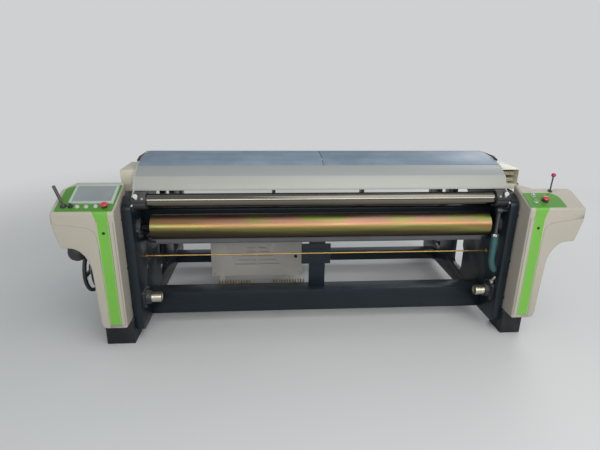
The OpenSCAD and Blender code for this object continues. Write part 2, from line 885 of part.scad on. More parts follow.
// Rear closing plates inside the covers' rims
module tower_back(plan) {
    fit = cover_wall + near_gap;
    intersection() {
        loft(tower_rings(fit, cover_edge - fit, shell_deep));
        union() {
            translate([0, 0, head_under - 12]) linear_extrude(600) polygon(bent_sheet(plan, sheet));
            block(40, arch_at.x - 30, column_deep - sheet, plan[len(plan) - 2].y - 1, head_under - 12,
                head_under - 12 + sheet);
            block(40, arch_at.x - 30, column_deep - sheet, column_deep, 0, head_under - 12 + sheet);
        }
    }
}

module tower_backs() {
    color(cream) placed() {
        left_side() tower_back(left_plan);
        right_side() tower_back(right_plan);
    }
}

// Green stripe over the front edge, and the green panel on the tilted top
stripe_profile = concat([[face, cover_bottom + 26]],
    [for (i = [0 : edge_steps]) let (a = 90 * i / edge_steps) let (d = face + cover_edge * (1 - cos(a)))
        [d, top_z(d) - cover_edge * (1 - sin(a))]]);

module stripe() {
    w = stripe_width / 2;
    intersection() {
        slab_x(0, 300, bent_sheet(stripe_profile, trim_thick));
        difference() {
            slab_y(-10, 30, [[stripe_u - w, 100], [stripe_u + w, 100], [stripe_u + w, 800],
                [stripe_u + w + 4, 825], [stripe_u + w + 12, 843], [stripe_u + w + 26, 880],
                [stripe_u - w, 880]]);
            rod_y(-11, 31, stripe_u, lock_z, lock_r + hole_gap);
        }
    }
}

function on_slope(p) = [for (q = p) [q.x, q.y / cos(head_tilt), q[2]]];
panel_front = face + cover_edge + 0.3;
left_panel = on_slope([[66, panel_front, 3], [368, panel_front, 10], [360, 192, 30], [306, 216, 12],
    [60, 216, 6]]);
right_panel = on_slope([[62, panel_front, 3], [277, panel_front, 8], [272, 130, 62], [64, 130, 6]]);

module left_green_panel() {
    color(green) placed() left_side() {
        stripe();
        difference() {
            head_plane() linear_extrude(trim_thick) polygon(rounded(left_panel));
            left_holes();
        }
    }
}

module right_green_panel() {
    color(green) placed() right_side() {
        stripe();
        difference() {
            head_plane() linear_extrude(trim_thick) polygon(rounded(right_panel));
            right_holes();
        }
    }
}

// Touch screen: a raised frame round a glass plate
screen_centre = [188, 137];
screen_w = 235;
screen_h = 160;
screen_tall = 13;
bezel_w = 13;
glass_thick = 3;

module screen_rect(w, h, z0, z1, r) {
    translate([0, 0, z0]) linear_extrude(z1 - z0) polygon(rect(-w / 2, w / 2, -h / 2, h / 2, r));
}

module screen_housing() {
    color(silver) placed() left_side() on_top(screen_centre.x, screen_centre.y) difference() {
        screen_rect(screen_w, screen_h, trim_thick, trim_thick + screen_tall, 8);
        screen_rect(screen_w - 2 * bezel_w, screen_h - 2 * bezel_w, trim_thick + screen_tall - 5,
            trim_thick + screen_tall + 1, 4);
    }
}

module screen_glass() {
    color([0.45, 0.50, 0.53]) placed() left_side() on_top(screen_centre.x, screen_centre.y)
        screen_rect(screen_w - 2 * bezel_w - 1, screen_h - 2 * bezel_w - 1, trim_thick + screen_tall - 5,
            trim_thick + screen_tall - 5 + glass_thick, 3.5);
}

// Bezels of the buttons, and the collars that the levers' balls sit in
bezel_tall = 5;
stop_base_tall = 7;

module bezel_ring(outer, inner, tall) {
    translate([0, 0, trim_thick]) difference() {
        cylinder(h = tall, r1 = outer, r2 = outer - 1.5);
        translate([0, 0, -1]) cylinder(h = tall + 2, r = inner);
    }
}

module button_bezels() {
    color(silver) placed() {
        left_side() for (b = left_buttons) on_top(b.x, b.y) bezel_ring(14, button_r + hole_gap, bezel_tall);
        right_side() for (b = right_buttons) on_top(b.x, b.y) bezel_ring(14, button_r + hole_gap, bezel_tall);
    }
}

module lever_collars() {
    color(black) placed() {
        left_side() {
            on_top(left_lever_at.x, left_lever_at.y) bezel_ring(19, left_ball_r + hole_gap, 4);
            on_top(left_stop.x, left_stop.y) bezel_ring(15, stop_stem_r + hole_gap, stop_base_tall);
            on_top(selector_at.x, selector_at.y) bezel_ring(13, knob_stem_r + hole_gap, 3);
            head_boot();
        }
        right_side() {
            head_plane() translate([right_lever_at.x, right_lever_at.y / cos(head_tilt), -trim_thick])
                bezel_ring(13, right_ball_r + hole_gap, 5);
            on_top(right_stop.x, right_stop.y) bezel_ring(20, stop_stem_r + hole_gap, stop_base_tall + 2);
        }
    }
}

// Round boot for the cables under the left head
boot_at = [322, 118];
boot_tall = 100;

module head_boot() {
    translate([boot_at.x, boot_at.y, head_under - 12 - boot_tall]) rotate_extrude() polygon([[0, 0], [24, 3],
        [40, 14], [50, 32], [53, 52], [50, 72], [40, 90], [28, boot_tall], [0, boot_tall]]);
    translate([boot_at.x + 10, boot_at.y, head_under - 13]) cylinder(h = 13 - near_gap, r = 16);
}

module button(tall) {
    translate([0, 0, -18]) cylinder(h = 18 + trim_thick + tall - 2, r = button_r);
    translate([0, 0, trim_thick + tall - 2]) cylinder(h = 2, r1 = button_r, r2 = button_r - 2);
}

module left_button(i) {
    color([0.85, 0.87, 0.85]) placed() left_side() on_top(left_buttons[i].x, left_buttons[i].y) button(10);
}

module left_button_1() { left_button(0); }
module left_button_2() { left_button(1); }
module left_button_3() { left_button(2); }

module right_button(i) {
    color([0.70, 0.72, 0.72]) placed() right_side() on_top(right_buttons[i].x, right_buttons[i].y) button(10);
}

module right_button_1() { right_button(0); }
module right_button_2() { right_button(1); }

stop_travel = 5;

// Mushroom button that stops the loom
module stop_button(base_tall, cap_r) {
    z0 = trim_thick + base_tall + stop_travel + 0.5;
    translate([0, 0, -18]) cylinder(h = 18 + z0, r = stop_stem_r);
    translate([0, 0, z0]) rotate_extrude() polygon([[0, 0], [cap_r - 5, 0], [cap_r, 3], [cap_r, 6],
        [cap_r - 2, 9], [cap_r - 6, 11.5], [cap_r - 12, 13], [0, 13.8]]);
}

module left_stop_button() {
    color([0.78, 0.15, 0.15]) placed() left_side() on_top(left_stop.x, left_stop.y)
        stop_button(stop_base_tall, 19);
}

module right_stop_button() {
    color([0.78, 0.15, 0.15]) placed() right_side() on_top(right_stop.x, right_stop.y)
        stop_button(stop_base_tall + 2, 19);
}

module selector_knob() {
    color(black) placed() left_side() on_top(selector_at.x, selector_at.y) {
        translate([0, 0, -16]) cylinder(h = 16 + trim_thick + 4, r = knob_stem_r);
        translate([0, 0, trim_thick + 3.3]) cylinder(h = 7, r = 11);
        translate([-3.5, -11, trim_thick + 10]) cube([7, 22, 9]);
    }
}

// Levers: a ball in a collar, a thin neck and a handle
left_lean = [24, -12];
right_lean = [4, -2];

module left_lever() {
    color([0.28, 0.28, 0.27]) placed() left_side() on_top(left_lever_at.x, left_lever_at.y)
        translate([0, 0, 4]) rotate([-head_tilt, 0, 0]) {
            sphere(r = left_ball_r);
            rotate([left_lean[1], left_lean[0], 0]) {
                cylinder(h = 30, r = 4.5);
                translate([0, 0, 24]) cylinder(h = 90, r = 8.5);
                translate([0, 0, 114]) cylinder(h = 3, r1 = 8.5, r2 = 5.5);
            }
        }
}

module right_lever_frame() {
    placed() right_side() on_top(right_lever_at.x, right_lever_at.y) translate([0, 0, 1])
        rotate([-head_tilt, 0, 0]) children();
}

right_lever_tall = 84;

module right_lever() {
    color(black) right_lever_frame() {
        sphere(r = right_ball_r);
        rotate([right_lean[1], right_lean[0], 0]) cylinder(h = right_lever_tall, r = 4);
    }
}

module right_lever_ball() {
    color([0.72, 0.12, 0.28]) right_lever_frame() rotate([right_lean[1], right_lean[0], 0])
        translate([0, 0, right_lever_tall + 12.5]) difference() {
            sphere(r = 13);
            translate([0, 0, -14]) cylinder(h = 1.5, r = 14);
        }
}

// Quarter-turn locks of the covers, each with its tongue inside
module cover_lock() {
    difference() {
        rod_y(0, 16, stripe_u, lock_z, lock_r);
        block(stripe_u - 0.8, stripe_u + 0.8, -1, 5, lock_z - 4, lock_z + 4);
    }
    block(stripe_u - 6, stripe_u + 6, 12, 15, lock_z - 28, lock_z);
}

module left_lock() {
    color(black) placed() left_side() cover_lock();
}

module right_lock() {
    color(black) placed() right_side() cover_lock();
}

// Drive at the left: the shaft with its pulley, the handwheel, motor and belt
pulley_start = 262;
wheel_start = 322;

module main_shaft() {
    color([0.45, 0.46, 0.48]) placed() left_side() {
        rod_x(4, wheel_start + 34, wheel_at, shaft_r);
        difference() {
            rod_x(pulley_start, pulley_start + pulley_width, wheel_at, main_pulley_r);
            for (u = [pulley_start - 1, pulley_start + pulley_width - 12]) difference() {
                rod_x(u, u + 13, wheel_at, main_pulley_r - 14);
                rod_x(u - 1, u + 14, wheel_at, 44);
            }
        }
        rod_x(pulley_start - 14, pulley_start, wheel_at, 36);
    }
}

module handwheel() {
    color(black) placed() left_side() translate([wheel_start, wheel_at.x, wheel_at.y]) rotate([0, 90, 0]) {
        translate([0, 0, 14]) rotate_extrude() translate([wheel_r, 0]) circle(r = 12);
        difference() {
            union() {
                cylinder(h = 30, r = 38);
                for (a = [0 : 120 : 240]) rotate([0, 0, a + 30]) translate([20, -11, 6])
                    cube([wheel_r - 24, 22, 14]);
            }
            translate([0, 0, -1]) cylinder(h = 32, r = shaft_r + near_gap);
        }
    }
}

motor_r = 92;
motor_end = 250;
motor_shaft_r = 14;

module drive_motor() {
    color([0.30, 0.36, 0.42]) placed() left_side() {
        difference() {
            union() {
                rod_x(72, motor_end - 16, motor_at, motor_r - 10);
                for (a = [0 : 15 : 345]) translate([84, motor_at.x, motor_at.y]) rotate([a, 0, 0])
                    translate([0, -2, 60]) cube([motor_end - 116, 4, motor_r - 60]);
                rod_x(motor_end - 30, motor_end, motor_at, motor_r);
                rod_x(64, 86, motor_at, motor_r);
                block(110, 200, motor_at.x - 50, motor_at.x + 50, motor_at.y + 60, motor_at.y + motor_r + 44);
                block(90, 230, motor_at.x - 70, motor_at.x + 70, motor_at.y - motor_r - 14, motor_at.y - 60);
            }
            rod_x(motor_end - 12, motor_end + 1, motor_at, motor_shaft_r + run_clear);
        }
        // Angle bracket on the frame's pad
        block(frame_rim_width, frame_rim_width + 10, motor_pad[0], motor_pad[1], motor_pad[2], motor_pad[3]);
        block(frame_rim_width, 240, motor_pad[0], motor_pad[1], motor_at.y - motor_r - 26,
            motor_at.y - motor_r - 14);
    }
}

module motor_pulley() {
    color([0.45, 0.46, 0.48]) placed() left_side() {
        rod_x(motor_end - 11, pulley_start + 2, motor_at, motor_shaft_r);
        rod_x(pulley_start, pulley_start + pulley_width, motor_at, motor_pulley_r);
    }
}

belt_thick = 9;
belt_off = 0.9;

// Outline of a belt round two wheels of radii ra and rb
function belt_outline(a, ra, b, rb) =
    let (span = norm(b - a))
    let (dir = atan2(b.y - a.y, b.x - a.x))
    let (lean = acos((ra - rb) / span))
    concat([for (i = [0 : 36]) let (t = dir + lean + (360 - 2 * lean) * i / 36) a + ra * [cos(t), sin(t)]],
        [for (i = [0 : 24]) let (t = dir - lean + 2 * lean * i / 24) b + rb * [cos(t), sin(t)]]);

module drive_belt() {
    color(black) placed() left_side() difference() {
        slab_x(pulley_start + 5, pulley_start + pulley_width - 5, belt_outline(wheel_at,
            main_pulley_r + belt_off + belt_thick, motor_at, motor_pulley_r + belt_off + belt_thick));
        slab_x(pulley_start, pulley_start + pulley_width, belt_outline(wheel_at,
            main_pulley_r + belt_off, motor_at, motor_pulley_r + belt_off));
    }
}

// Sley: rocking shaft, swords and sley beam, with the reed on top
sword_x = [-0.82, -0.27, 0.27, 0.82];
sword_thick = 22;
sley_deep = 60;
sley_bottom = 890;
sley_top = 945;
reed_top = 1040;

module sley() {
    color([0.62, 0.64, 0.66]) placed() {
        rod_x(-half + 6, half - 6, rocker_at, rocker_r);
        rod_x(-half - frame_rim_width + 4, half + frame_rim_width - 4, rocker_at, rocker_journal_r);
        for (s = sword_x) slab_x(s * half - sword_thick / 2, s * half + sword_thick / 2,
            [[rocker_at.x - 40, rocker_at.y + 15], [rocker_at.x + 40, rocker_at.y + 15],
            [rocker_at.x + 28, sley_bottom + 4], [rocker_at.x - 28, sley_bottom + 4]]);
        sley_half = half - 40;
        difference() {
            slab_x(-sley_half, sley_half, rect(rocker_at.x - sley_deep / 2, rocker_at.x + sley_deep / 2,
                sley_bottom, sley_top, 6));
            slab_x(-sley_half - 1, sley_half + 1, rect(rocker_at.x - sley_deep / 2 + 6,
                rocker_at.x + sley_deep / 2 - 6, sley_bottom + 6, sley_top - 16, 2));
        }
    }
}

module reed() {
    reed_half = reed_length / 2;
    baulk = 12;
    dent = 4;
    pitch = (reed_length - 2 * baulk) / dents;
    color(silver) placed() {
        for (z = [sley_top, reed_top - baulk]) block(-reed_half, reed_half, rocker_at.x - 7, rocker_at.x + 7, z,
            z + baulk);
        for (x = [-reed_half, reed_half - baulk]) block(x, x + baulk, rocker_at.x - 7, rocker_at.x + 7,
            sley_top, reed_top);
        for (i = [0.5 : 1 : dents - 0.5]) block(-reed_half + baulk + pitch * i - dent / 2,
            -reed_half + baulk + pitch * i + dent / 2, rocker_at.x - 3, rocker_at.x + 3, sley_top + 6,
            reed_top - 6);
    }
}

// Back rest roller over which the warp runs in
module back_rest_roller() {
    color([0.55, 0.57, 0.60]) placed() {
        rod_x(-half + 40, half - 40, back_rest_at, back_rest_r);
        rod_x(-half - frame_rim_width + 4, half + frame_rim_width - 4, back_rest_at, journal_r);
    }
}

// Electric cabinet on two rails, with a louvred front cover
cabinet_x = -770;
cabinet_front = rear_low[0] - cabinet_space - cabinet_deep;
cabinet_bottom = low_beam_bottom + 20;
cabinet_mid = -425;

module electric_cabinet() {
    color(cream) placed() {
        difference() {
            block(cabinet_x, cabinet_x + cabinet_width, cabinet_front, cabinet_front + cabinet_deep,
                cabinet_bottom, cabinet_top);
            block(cabinet_x + 20, cabinet_x + cabinet_width - 20, cabinet_front - 1, cabinet_front + 25,
                cabinet_bottom + 20, cabinet_top - 20);
        }
        for (x = [cabinet_x + 60, cabinet_x + cabinet_width - 100])
            block(x, x + 40, low_beam_rear, rear_low[0], cabinet_bottom - 20, cabinet_bottom);
    }
}

louvre_pitch = 33;
louvre_top = 320;
slot_h = 7;

module louvre_cover() {
    color(cream) placed() difference() {
        union() {
            block(cabinet_x, cabinet_x + cabinet_width, cabinet_front - sheet, cabinet_front,
                cabinet_bottom, cabinet_top);
            // Pressed field that carries the louvres
            block(cabinet_mid - 185, cabinet_mid + 185, cabinet_front - sheet - 2, cabinet_front - 1,
                255, cabinet_top - 20);
        }
        for (i = [0 : louvre_rows - 1]) for (s = [-1, 1]) {
            long = 52 + 26 * i;
            mid = cabinet_mid + s * (14 + long / 2);
            block(mid - long / 2, mid + long / 2, cabinet_front - 10, cabinet_front + 1,
                louvre_top - louvre_pitch * i, louvre_top - louvre_pitch * i + slot_h);
        }
        for (a = [0 : 45 : 315]) for (r = [12, 25]) rod_y(cabinet_front - 10, cabinet_front + 1,
            cabinet_mid + r * cos(a), 420 + r * sin(a), 4);
    }
}

// Two banks of springs on a rail across the loom
rail_deep = [590, 650];
rail_z = [cabinet_bottom, cabinet_bottom + 16];
spring_pitch = 19.5;
spring_r = 7;
spring_tall = 36;
bank_starts = [-690, -300];

module spring_rail() {
    color(frame_paint) placed() difference() {
        block(-half, half, rail_deep[0], rail_deep[1], rail_z[0], rail_z[1]);
        block(-half - 1, half + 1, rail_deep[0] + 6, rail_deep[1] - 6, rail_z[0] - 1, rail_z[1] - 6);
    }
}

module heald_spring() {
    coils = 7;
    step = spring_tall / coils;
    rotate_extrude($fn = 16) polygon(concat([[0, 0]],
        [for (i = [0 : coils - 1]) each [[spring_r - 2, step * i], [spring_r, step * (i + 0.5)]]],
        [[spring_r - 2, spring_tall], [0, spring_tall]]));
    cylinder(h = spring_tall + 6, r = 2);
}

module heald_springs() {
    color([0.62, 0.52, 0.34]) placed() for (x = bank_starts) for (i = [0 : springs_per_bank - 1])
        translate([x + spring_pitch * i, (rail_deep[0] + rail_deep[1]) / 2, rail_z[1]]) heald_spring();
}

left_side_frame();
right_side_frame();
front_lower_beam();
front_upper_beam();
centre_post();
rear_beams();
feet();
beam_cradles();
gear_cases();
breast_tube();
breast_clamps();
take_up_roller();
bearing_housings();
press_arms();
press_roller();
release_lever();
release_grip();
left_chuck();
right_chuck();
chuck_latch();
yellow_rod();
front_fascia();
lid_cheeks();
left_lid();
right_lid();
end_boxes();
left_tower_cover();
right_tower_cover();
tower_backs();
left_green_panel();
right_green_panel();
screen_housing();
screen_glass();
button_bezels();
lever_collars();
left_button_1();
left_button_2();
left_button_3();
left_stop_button();
selector_knob();
right_button_1();
right_button_2();
right_stop_button();
left_lever();
right_lever();
right_lever_ball();
left_lock();
right_lock();
main_shaft();
handwheel();
drive_motor();
motor_pulley();
drive_belt();
sley();
reed();
back_rest_roller();
electric_cabinet();
louvre_cover();
heald_springs();
spring_rail();
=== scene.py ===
# A power loom as it leaves the works, without warp, healds and cloth roller.
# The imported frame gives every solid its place; the sections below finish them from the castings outwards.
import json
import math
import bpy
import bmesh
from mathutils import Matrix, Vector

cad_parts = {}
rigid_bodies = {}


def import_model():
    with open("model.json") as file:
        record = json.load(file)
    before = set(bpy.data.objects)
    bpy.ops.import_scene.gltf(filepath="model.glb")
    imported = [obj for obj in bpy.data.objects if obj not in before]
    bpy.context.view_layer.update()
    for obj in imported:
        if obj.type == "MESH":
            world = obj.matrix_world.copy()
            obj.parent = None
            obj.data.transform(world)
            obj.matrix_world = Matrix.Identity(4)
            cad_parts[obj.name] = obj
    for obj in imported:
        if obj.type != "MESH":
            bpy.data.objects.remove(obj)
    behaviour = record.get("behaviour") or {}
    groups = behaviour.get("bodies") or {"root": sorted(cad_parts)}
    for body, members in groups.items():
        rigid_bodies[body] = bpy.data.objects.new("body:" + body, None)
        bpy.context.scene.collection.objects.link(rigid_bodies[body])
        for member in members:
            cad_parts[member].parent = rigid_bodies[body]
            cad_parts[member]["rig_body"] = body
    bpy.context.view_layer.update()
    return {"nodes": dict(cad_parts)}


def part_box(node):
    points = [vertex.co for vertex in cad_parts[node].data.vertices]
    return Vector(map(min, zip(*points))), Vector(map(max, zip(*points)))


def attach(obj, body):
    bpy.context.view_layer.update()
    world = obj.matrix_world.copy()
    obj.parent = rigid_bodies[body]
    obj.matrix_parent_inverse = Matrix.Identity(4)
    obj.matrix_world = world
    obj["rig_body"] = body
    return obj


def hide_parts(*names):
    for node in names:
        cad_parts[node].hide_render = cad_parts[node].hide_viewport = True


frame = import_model()
scene = bpy.context.scene

# Camera
# A standing person's view from the weaver's side, a little to the left of the loom's middle,
# with the wide lens of a phone held slightly askew.
down, turned, askew = (math.radians(a) for a in (18.55, 4.15, 0.68))
ahead = Vector((math.sin(turned) * math.cos(down), math.cos(turned) * math.cos(down), -math.sin(down)))
level = Vector((math.cos(turned), -math.sin(turned), 0))
over = level.cross(ahead)
right_of_view = level * math.cos(askew) + over * math.sin(askew)
up_in_view = over * math.cos(askew) - level * math.sin(askew)
eye_point = (-0.326, -3.025, 1.55)
lens_mm, picture_mm, farthest_m = 26.42, 36, 100
bpy.ops.object.camera_add(location=eye_point)
camera = bpy.context.object
camera.rotation_euler = Matrix((right_of_view, up_in_view, -ahead)).transposed().to_euler()
camera.data.lens = lens_mm
camera.data.sensor_width = picture_mm
camera.data.clip_end = farthest_m
scene.camera = camera

# Floor and light
# A pale plain floor that fades into an equally pale surround, a broad soft lamp overhead on the
# weaver's side, a long one in front like a row of windows, a weaker one behind, and the even light
# of the surround itself.
surround = (0.62, 0.63, 0.64)
daylight, daylight_strength = (0.90, 0.95, 1.0), 0.46
scene.view_settings.view_transform = "Standard"
scene.world = bpy.data.worlds.new("surround")
scene.world.use_nodes = True
nodes, links = scene.world.node_tree.nodes, scene.world.node_tree.links
nodes.clear()
seen = nodes.new("ShaderNodeLightPath")
either = nodes.new("ShaderNodeMath")
either.operation = "MAXIMUM"
links.new(seen.outputs["Is Camera Ray"], either.inputs[0])
links.new(seen.outputs["Is Transmission Ray"], either.inputs[1])
shown = nodes.new("ShaderNodeBackground")
shown.inputs["Color"].default_value = (*surround, 1)
lit = nodes.new("ShaderNodeBackground")
lit.inputs["Color"].default_value = (*daylight, 1)
lit.inputs["Strength"].default_value = daylight_strength
blend = nodes.new("ShaderNodeMixShader")
links.new(either.outputs[0], blend.inputs[0])
links.new(lit.outputs[0], blend.inputs[1])
links.new(shown.outputs[0], blend.inputs[2])
links.new(blend.outputs[0], nodes.new("ShaderNodeOutputWorld").inputs[0])

floor_size, fade_from, fade_to = 60, 1.9, 6.0
bpy.ops.mesh.primitive_plane_add(size=floor_size)
floor = bpy.context.object
floor.name = "floor"
floor_finish = bpy.data.materials.new("pale_floor")
floor_finish.use_nodes = True
nodes, links = floor_finish.node_tree.nodes, floor_finish.node_tree.links
nodes["Principled BSDF"].inputs["Base Color"].default_value = (0.66, 0.66, 0.65, 1)
nodes["Principled BSDF"].inputs["Roughness"].default_value = 0.75
place = nodes.new("ShaderNodeTexCoord")
away = nodes.new("ShaderNodeVectorMath")
away.operation = "LENGTH"
links.new(place.outputs["Object"], away.inputs[0])
fade = nodes.new("ShaderNodeMapRange")
fade.inputs["From Min"].default_value = fade_from
fade.inputs["From Max"].default_value = fade_to
fade.interpolation_type = "SMOOTHSTEP"
links.new(away.outputs["Value"], fade.inputs["Value"])
glow = nodes.new("ShaderNodeEmission")
glow.inputs["Color"].default_value = (*surround, 1)
mix = nodes.new("ShaderNodeMixShader")
links.new(fade.outputs[0], mix.inputs[0])
links.new(nodes["Principled BSDF"].outputs[0], mix.inputs[1])
links.new(glow.outputs[0], mix.inputs[2])
links.new(mix.outputs[0], nodes["Material Output"].inputs[0])
floor.data.materials.append(floor_finish)

overhead_lamp = (1.5, -3.0, 4.4), (0, -0.3, 0.5), (3.6, 3.6), 74
window_lamp = (0.6, -4.8, 2.4), (0.1, -0.3, 0.6), (7.5, 1.1), 118
rear_lamp = (3.8, 3.0, 3.0), (0.4, 0, 0.6), (2.4, 2.4), 60
for spot, aim, size, power in (overhead_lamp, window_lamp, rear_lamp):
    bpy.ops.object.light_add(type="AREA", location=spot)
    lamp = bpy.context.object
    lamp.data.shape = "RECTANGLE"
    lamp.data.size, lamp.data.size_y = size
    lamp.data.energy = power
    lamp.rotation_euler = (Vector(aim) - Vector(spot)).to_track_quat("-Z", "Y").to_euler()

# Side frames
# Two iron castings with a deep rim, windows and bearing bosses, sprayed with blue-black
# machine paint that shows a faint orange peel and gathers dust on its ledges.
def effect(name, inputs, outputs):
    group = bpy.data.node_groups.new(name, "ShaderNodeTree")
    for label, kind, value in inputs:
        socket = group.interface.new_socket(label, in_out="INPUT", socket_type="NodeSocket" + kind)
        socket.default_value = value
    for label, kind in outputs:
        group.interface.new_socket(label, in_out="OUTPUT", socket_type="NodeSocket" + kind)
    return group, group.nodes.new("NodeGroupInput").outputs, group.nodes.new("NodeGroupOutput").inputs


def cloud(group, scale, detail=4.0, stretch=None):
    """Noise on Object coordinates; scale is a socket or a number."""
    coords = group.nodes.new("ShaderNodeTexCoord").outputs["Object"]
    if stretch:
        squeeze = group.nodes.new("ShaderNodeMapping")
        squeeze.inputs["Scale"].default_value = stretch
        group.links.new(coords, squeeze.inputs["Vector"])
        coords = squeeze.outputs[0]
    noise = group.nodes.new("ShaderNodeTexNoise")
    noise.inputs["Detail"].default_value = detail
    group.links.new(coords, noise.inputs["Vector"])
    if isinstance(scale, (int, float)):
        noise.inputs["Scale"].default_value = scale
    else:
        group.links.new(scale, noise.inputs["Scale"])
    return noise.outputs["Fac"]


def spread(group, value, low, high, to_low=0.0, to_high=1.0):
    step = group.nodes.new("ShaderNodeMapRange")
    for label, number in (("From Min", low), ("From Max", high), ("To Min", to_low), ("To Max", to_high)):
        step.inputs[label].default_value = number
    group.links.new(value, step.inputs["Value"])
    return step.outputs[0]


def worked(group, operation, *values):
    """One sum on sockets or numbers."""
    step = group.nodes.new("ShaderNodeMath")
    step.operation = operation
    for socket, value in zip(step.inputs, values):
        if isinstance(value, (int, float)):
            socket.default_value = value
        else:
            group.links.new(value, socket)
    return step.outputs[0]


def product(group, a, b):
    return worked(group, "MULTIPLY", a, b)


def mixed(group, share, a, b):
    step = group.nodes.new("ShaderNodeMix")
    step.data_type = "RGBA"
    for socket, v in zip((step.inputs[0], step.inputs[6], step.inputs[7]), (share, a, b)):
        if isinstance(v, (int, float)):
            socket.default_value = v
        elif isinstance(v, tuple):
            socket.default_value = (*v, 1)
        else:
            group.links.new(v, socket)
    return step.outputs[2]


mid_grey, dark_grey = (0.5, 0.5, 0.5, 1), (0.4, 0.4, 0.4, 1)
mottle, given, put = effect("mottle", [("Colour", "Color", mid_grey), ("Shade", "Color", dark_grey),
    ("Scale", "Float", 5.0), ("Amount", "Float", 0.5)], [("Colour", "Color")])
patch = spread(mottle, cloud(mottle, given["Scale"], 5), 0.38, 0.68)
mottle.links.new(mixed(mottle, product(mottle, patch, given["Amount"]), given["Colour"], given["Shade"]),
    put["Colour"])

dust_colour, dust_roughness = (0.46, 0.44, 0.40), 0.9
dust, given, put = effect("workshop_dust", [("Colour", "Color", mid_grey), ("Roughness", "Float", 0.4),
    ("Amount", "Float", 0.3)], [("Colour", "Color"), ("Roughness", "Float")])
facing = dust.nodes.new("ShaderNodeSeparateXYZ")
dust.links.new(dust.nodes.new("ShaderNodeNewGeometry").outputs["Normal"], facing.inputs[0])
lying = product(dust, spread(dust, facing.outputs["Z"], 0.25, 1.0),
    spread(dust, cloud(dust, 11.0, 6), 0.30, 0.75))
veil = product(dust, lying, given["Amount"])
dust.links.new(mixed(dust, veil, given["Colour"], dust_colour), put["Colour"])
dull = dust.nodes.new("ShaderNodeMix")
dust.links.new(veil, dull.inputs[0])
dust.links.new(given["Roughness"], dull.inputs[2])
dull.inputs[3].default_value = dust_roughness
dust.links.new(dull.outputs[0], put["Roughness"])

grain, given, put = effect("fine_grain", [("Scale", "Float", 600.0), ("Height", "Float", 0.0001)],
    [("Normal", "Vector")])
bump = grain.nodes.new("ShaderNodeBump")
grain.links.new(product(grain, cloud(grain, given["Scale"], 2), given["Height"]), bump.inputs["Height"])
bump.inputs["Distance"].default_value = 1.0
grain.links.new(bump.outputs[0], put["Normal"])


def place_effect(tree, group, **values):
    node = tree.nodes.new("ShaderNodeGroup")
    node.node_tree = group
    for label, value in values.items():
        socket = node.inputs[label]
        if isinstance(value, (int, float)):
            socket.default_value = value
        elif isinstance(value, tuple):
            socket.default_value = (*value, 1)
        else:
            tree.links.new(value, socket)
    return node.outputs


def finish(name, colour, shade, roughness=0.4, metallic=0.0, coat=0.0, patches=5.0, amount=0.5, dirt=0.25,
           grain_scale=500.0, grain_height=0.00006, gloss=0.5):
    """A painted, moulded or bare surface: patchy colour, dust where it faces up, and a fine grain."""
    material = bpy.data.materials.new(name)
    material.use_nodes = True
    tree = material.node_tree
    shader = tree.nodes["Principled BSDF"]
    shader.inputs["Metallic"].default_value = metallic
    shader.inputs["Coat Weight"].default_value = coat
    shader.inputs["Coat Roughness"].default_value = 0.15
    shader.inputs["Specular IOR Level"].default_value = gloss
    tone = place_effect(tree, mottle, Colour=colour, Shade=shade, Scale=patches, Amount=amount)["Colour"]
    out = place_effect(tree, dust, Colour=tone, Roughness=roughness, Amount=dirt)
    tree.links.new(out["Colour"], shader.inputs["Base Color"])
    tree.links.new(out["Roughness"], shader.inputs["Roughness"])
    rough = place_effect(tree, grain, Scale=grain_scale, Height=grain_height)["Normal"]
    tree.links.new(rough, shader.inputs["Normal"])
    return material


def dress(material, *names):
    """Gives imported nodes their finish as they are."""
    for name in names:
        slots = frame["nodes"][name].data.materials
        slots.clear()
        slots.append(material)


def softened(material, *names, angle=38, bevel=0.0):
    """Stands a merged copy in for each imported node, with broken edges and smooth curves."""
    for name in names:
        source = frame["nodes"][name]
        piece = source.copy()
        piece.data = source.data.copy()
        piece.parent = None
        for key in list(piece.keys()):
            del piece[key]
        piece.name = name + "_finished"
        scene.collection.objects.link(piece)
        bpy.ops.object.select_all(action="DESELECT")
        piece.select_set(True)
        bpy.context.view_layer.objects.active = piece
        bpy.ops.object.mode_set(mode="EDIT")
        bpy.ops.mesh.select_all(action="SELECT")
        bpy.ops.mesh.remove_doubles(threshold=0.00002)
        bpy.ops.mesh.dissolve_limited(angle_limit=math.radians(0.5))
        bpy.ops.object.mode_set(mode="OBJECT")
        if bevel:
            rounding = piece.modifiers.new("edges", "BEVEL")
            rounding.width = bevel
            rounding.segments = 2
            rounding.limit_method = "ANGLE"
            rounding.angle_limit = math.radians(45)
            rounding.harden_normals = False
            bpy.ops.object.modifier_apply(modifier=rounding.name)
        bpy.ops.object.mode_set(mode="EDIT")
        bpy.ops.mesh.select_all(action="SELECT")
        bpy.ops.mesh.dissolve_degenerate(threshold=0.000002)
        bpy.ops.object.mode_set(mode="OBJECT")
        piece.data.materials.clear()
        piece.data.materials.append(material)
        bpy.ops.object.shade_smooth_by_angle(angle=math.radians(angle))
        body = source["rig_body"]
        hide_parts(name)
        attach(piece, body)


machine_paint = finish("blue_black_machine_paint", (0.009, 0.0155, 0.0215), (0.015, 0.023, 0.031), 0.34,
    patches=3.0, dirt=0.06, grain_scale=320.0, grain_height=0.00012, gloss=0.30)
softened(machine_paint, "left_side_frame", "right_side_frame", bevel=0.0015)

# Feet
# Welded steel boxes bolted outside the frames and drilled for the anchor bolts, painted black
# and scuffed near the floor.
foot_paint = finish("black_foot_paint", (0.010, 0.012, 0.013), (0.030, 0.033, 0.035), 0.5, patches=9.0,
    amount=0.6, dirt=0.25, gloss=0.3)
softened(foot_paint, "feet", bevel=0.0015)

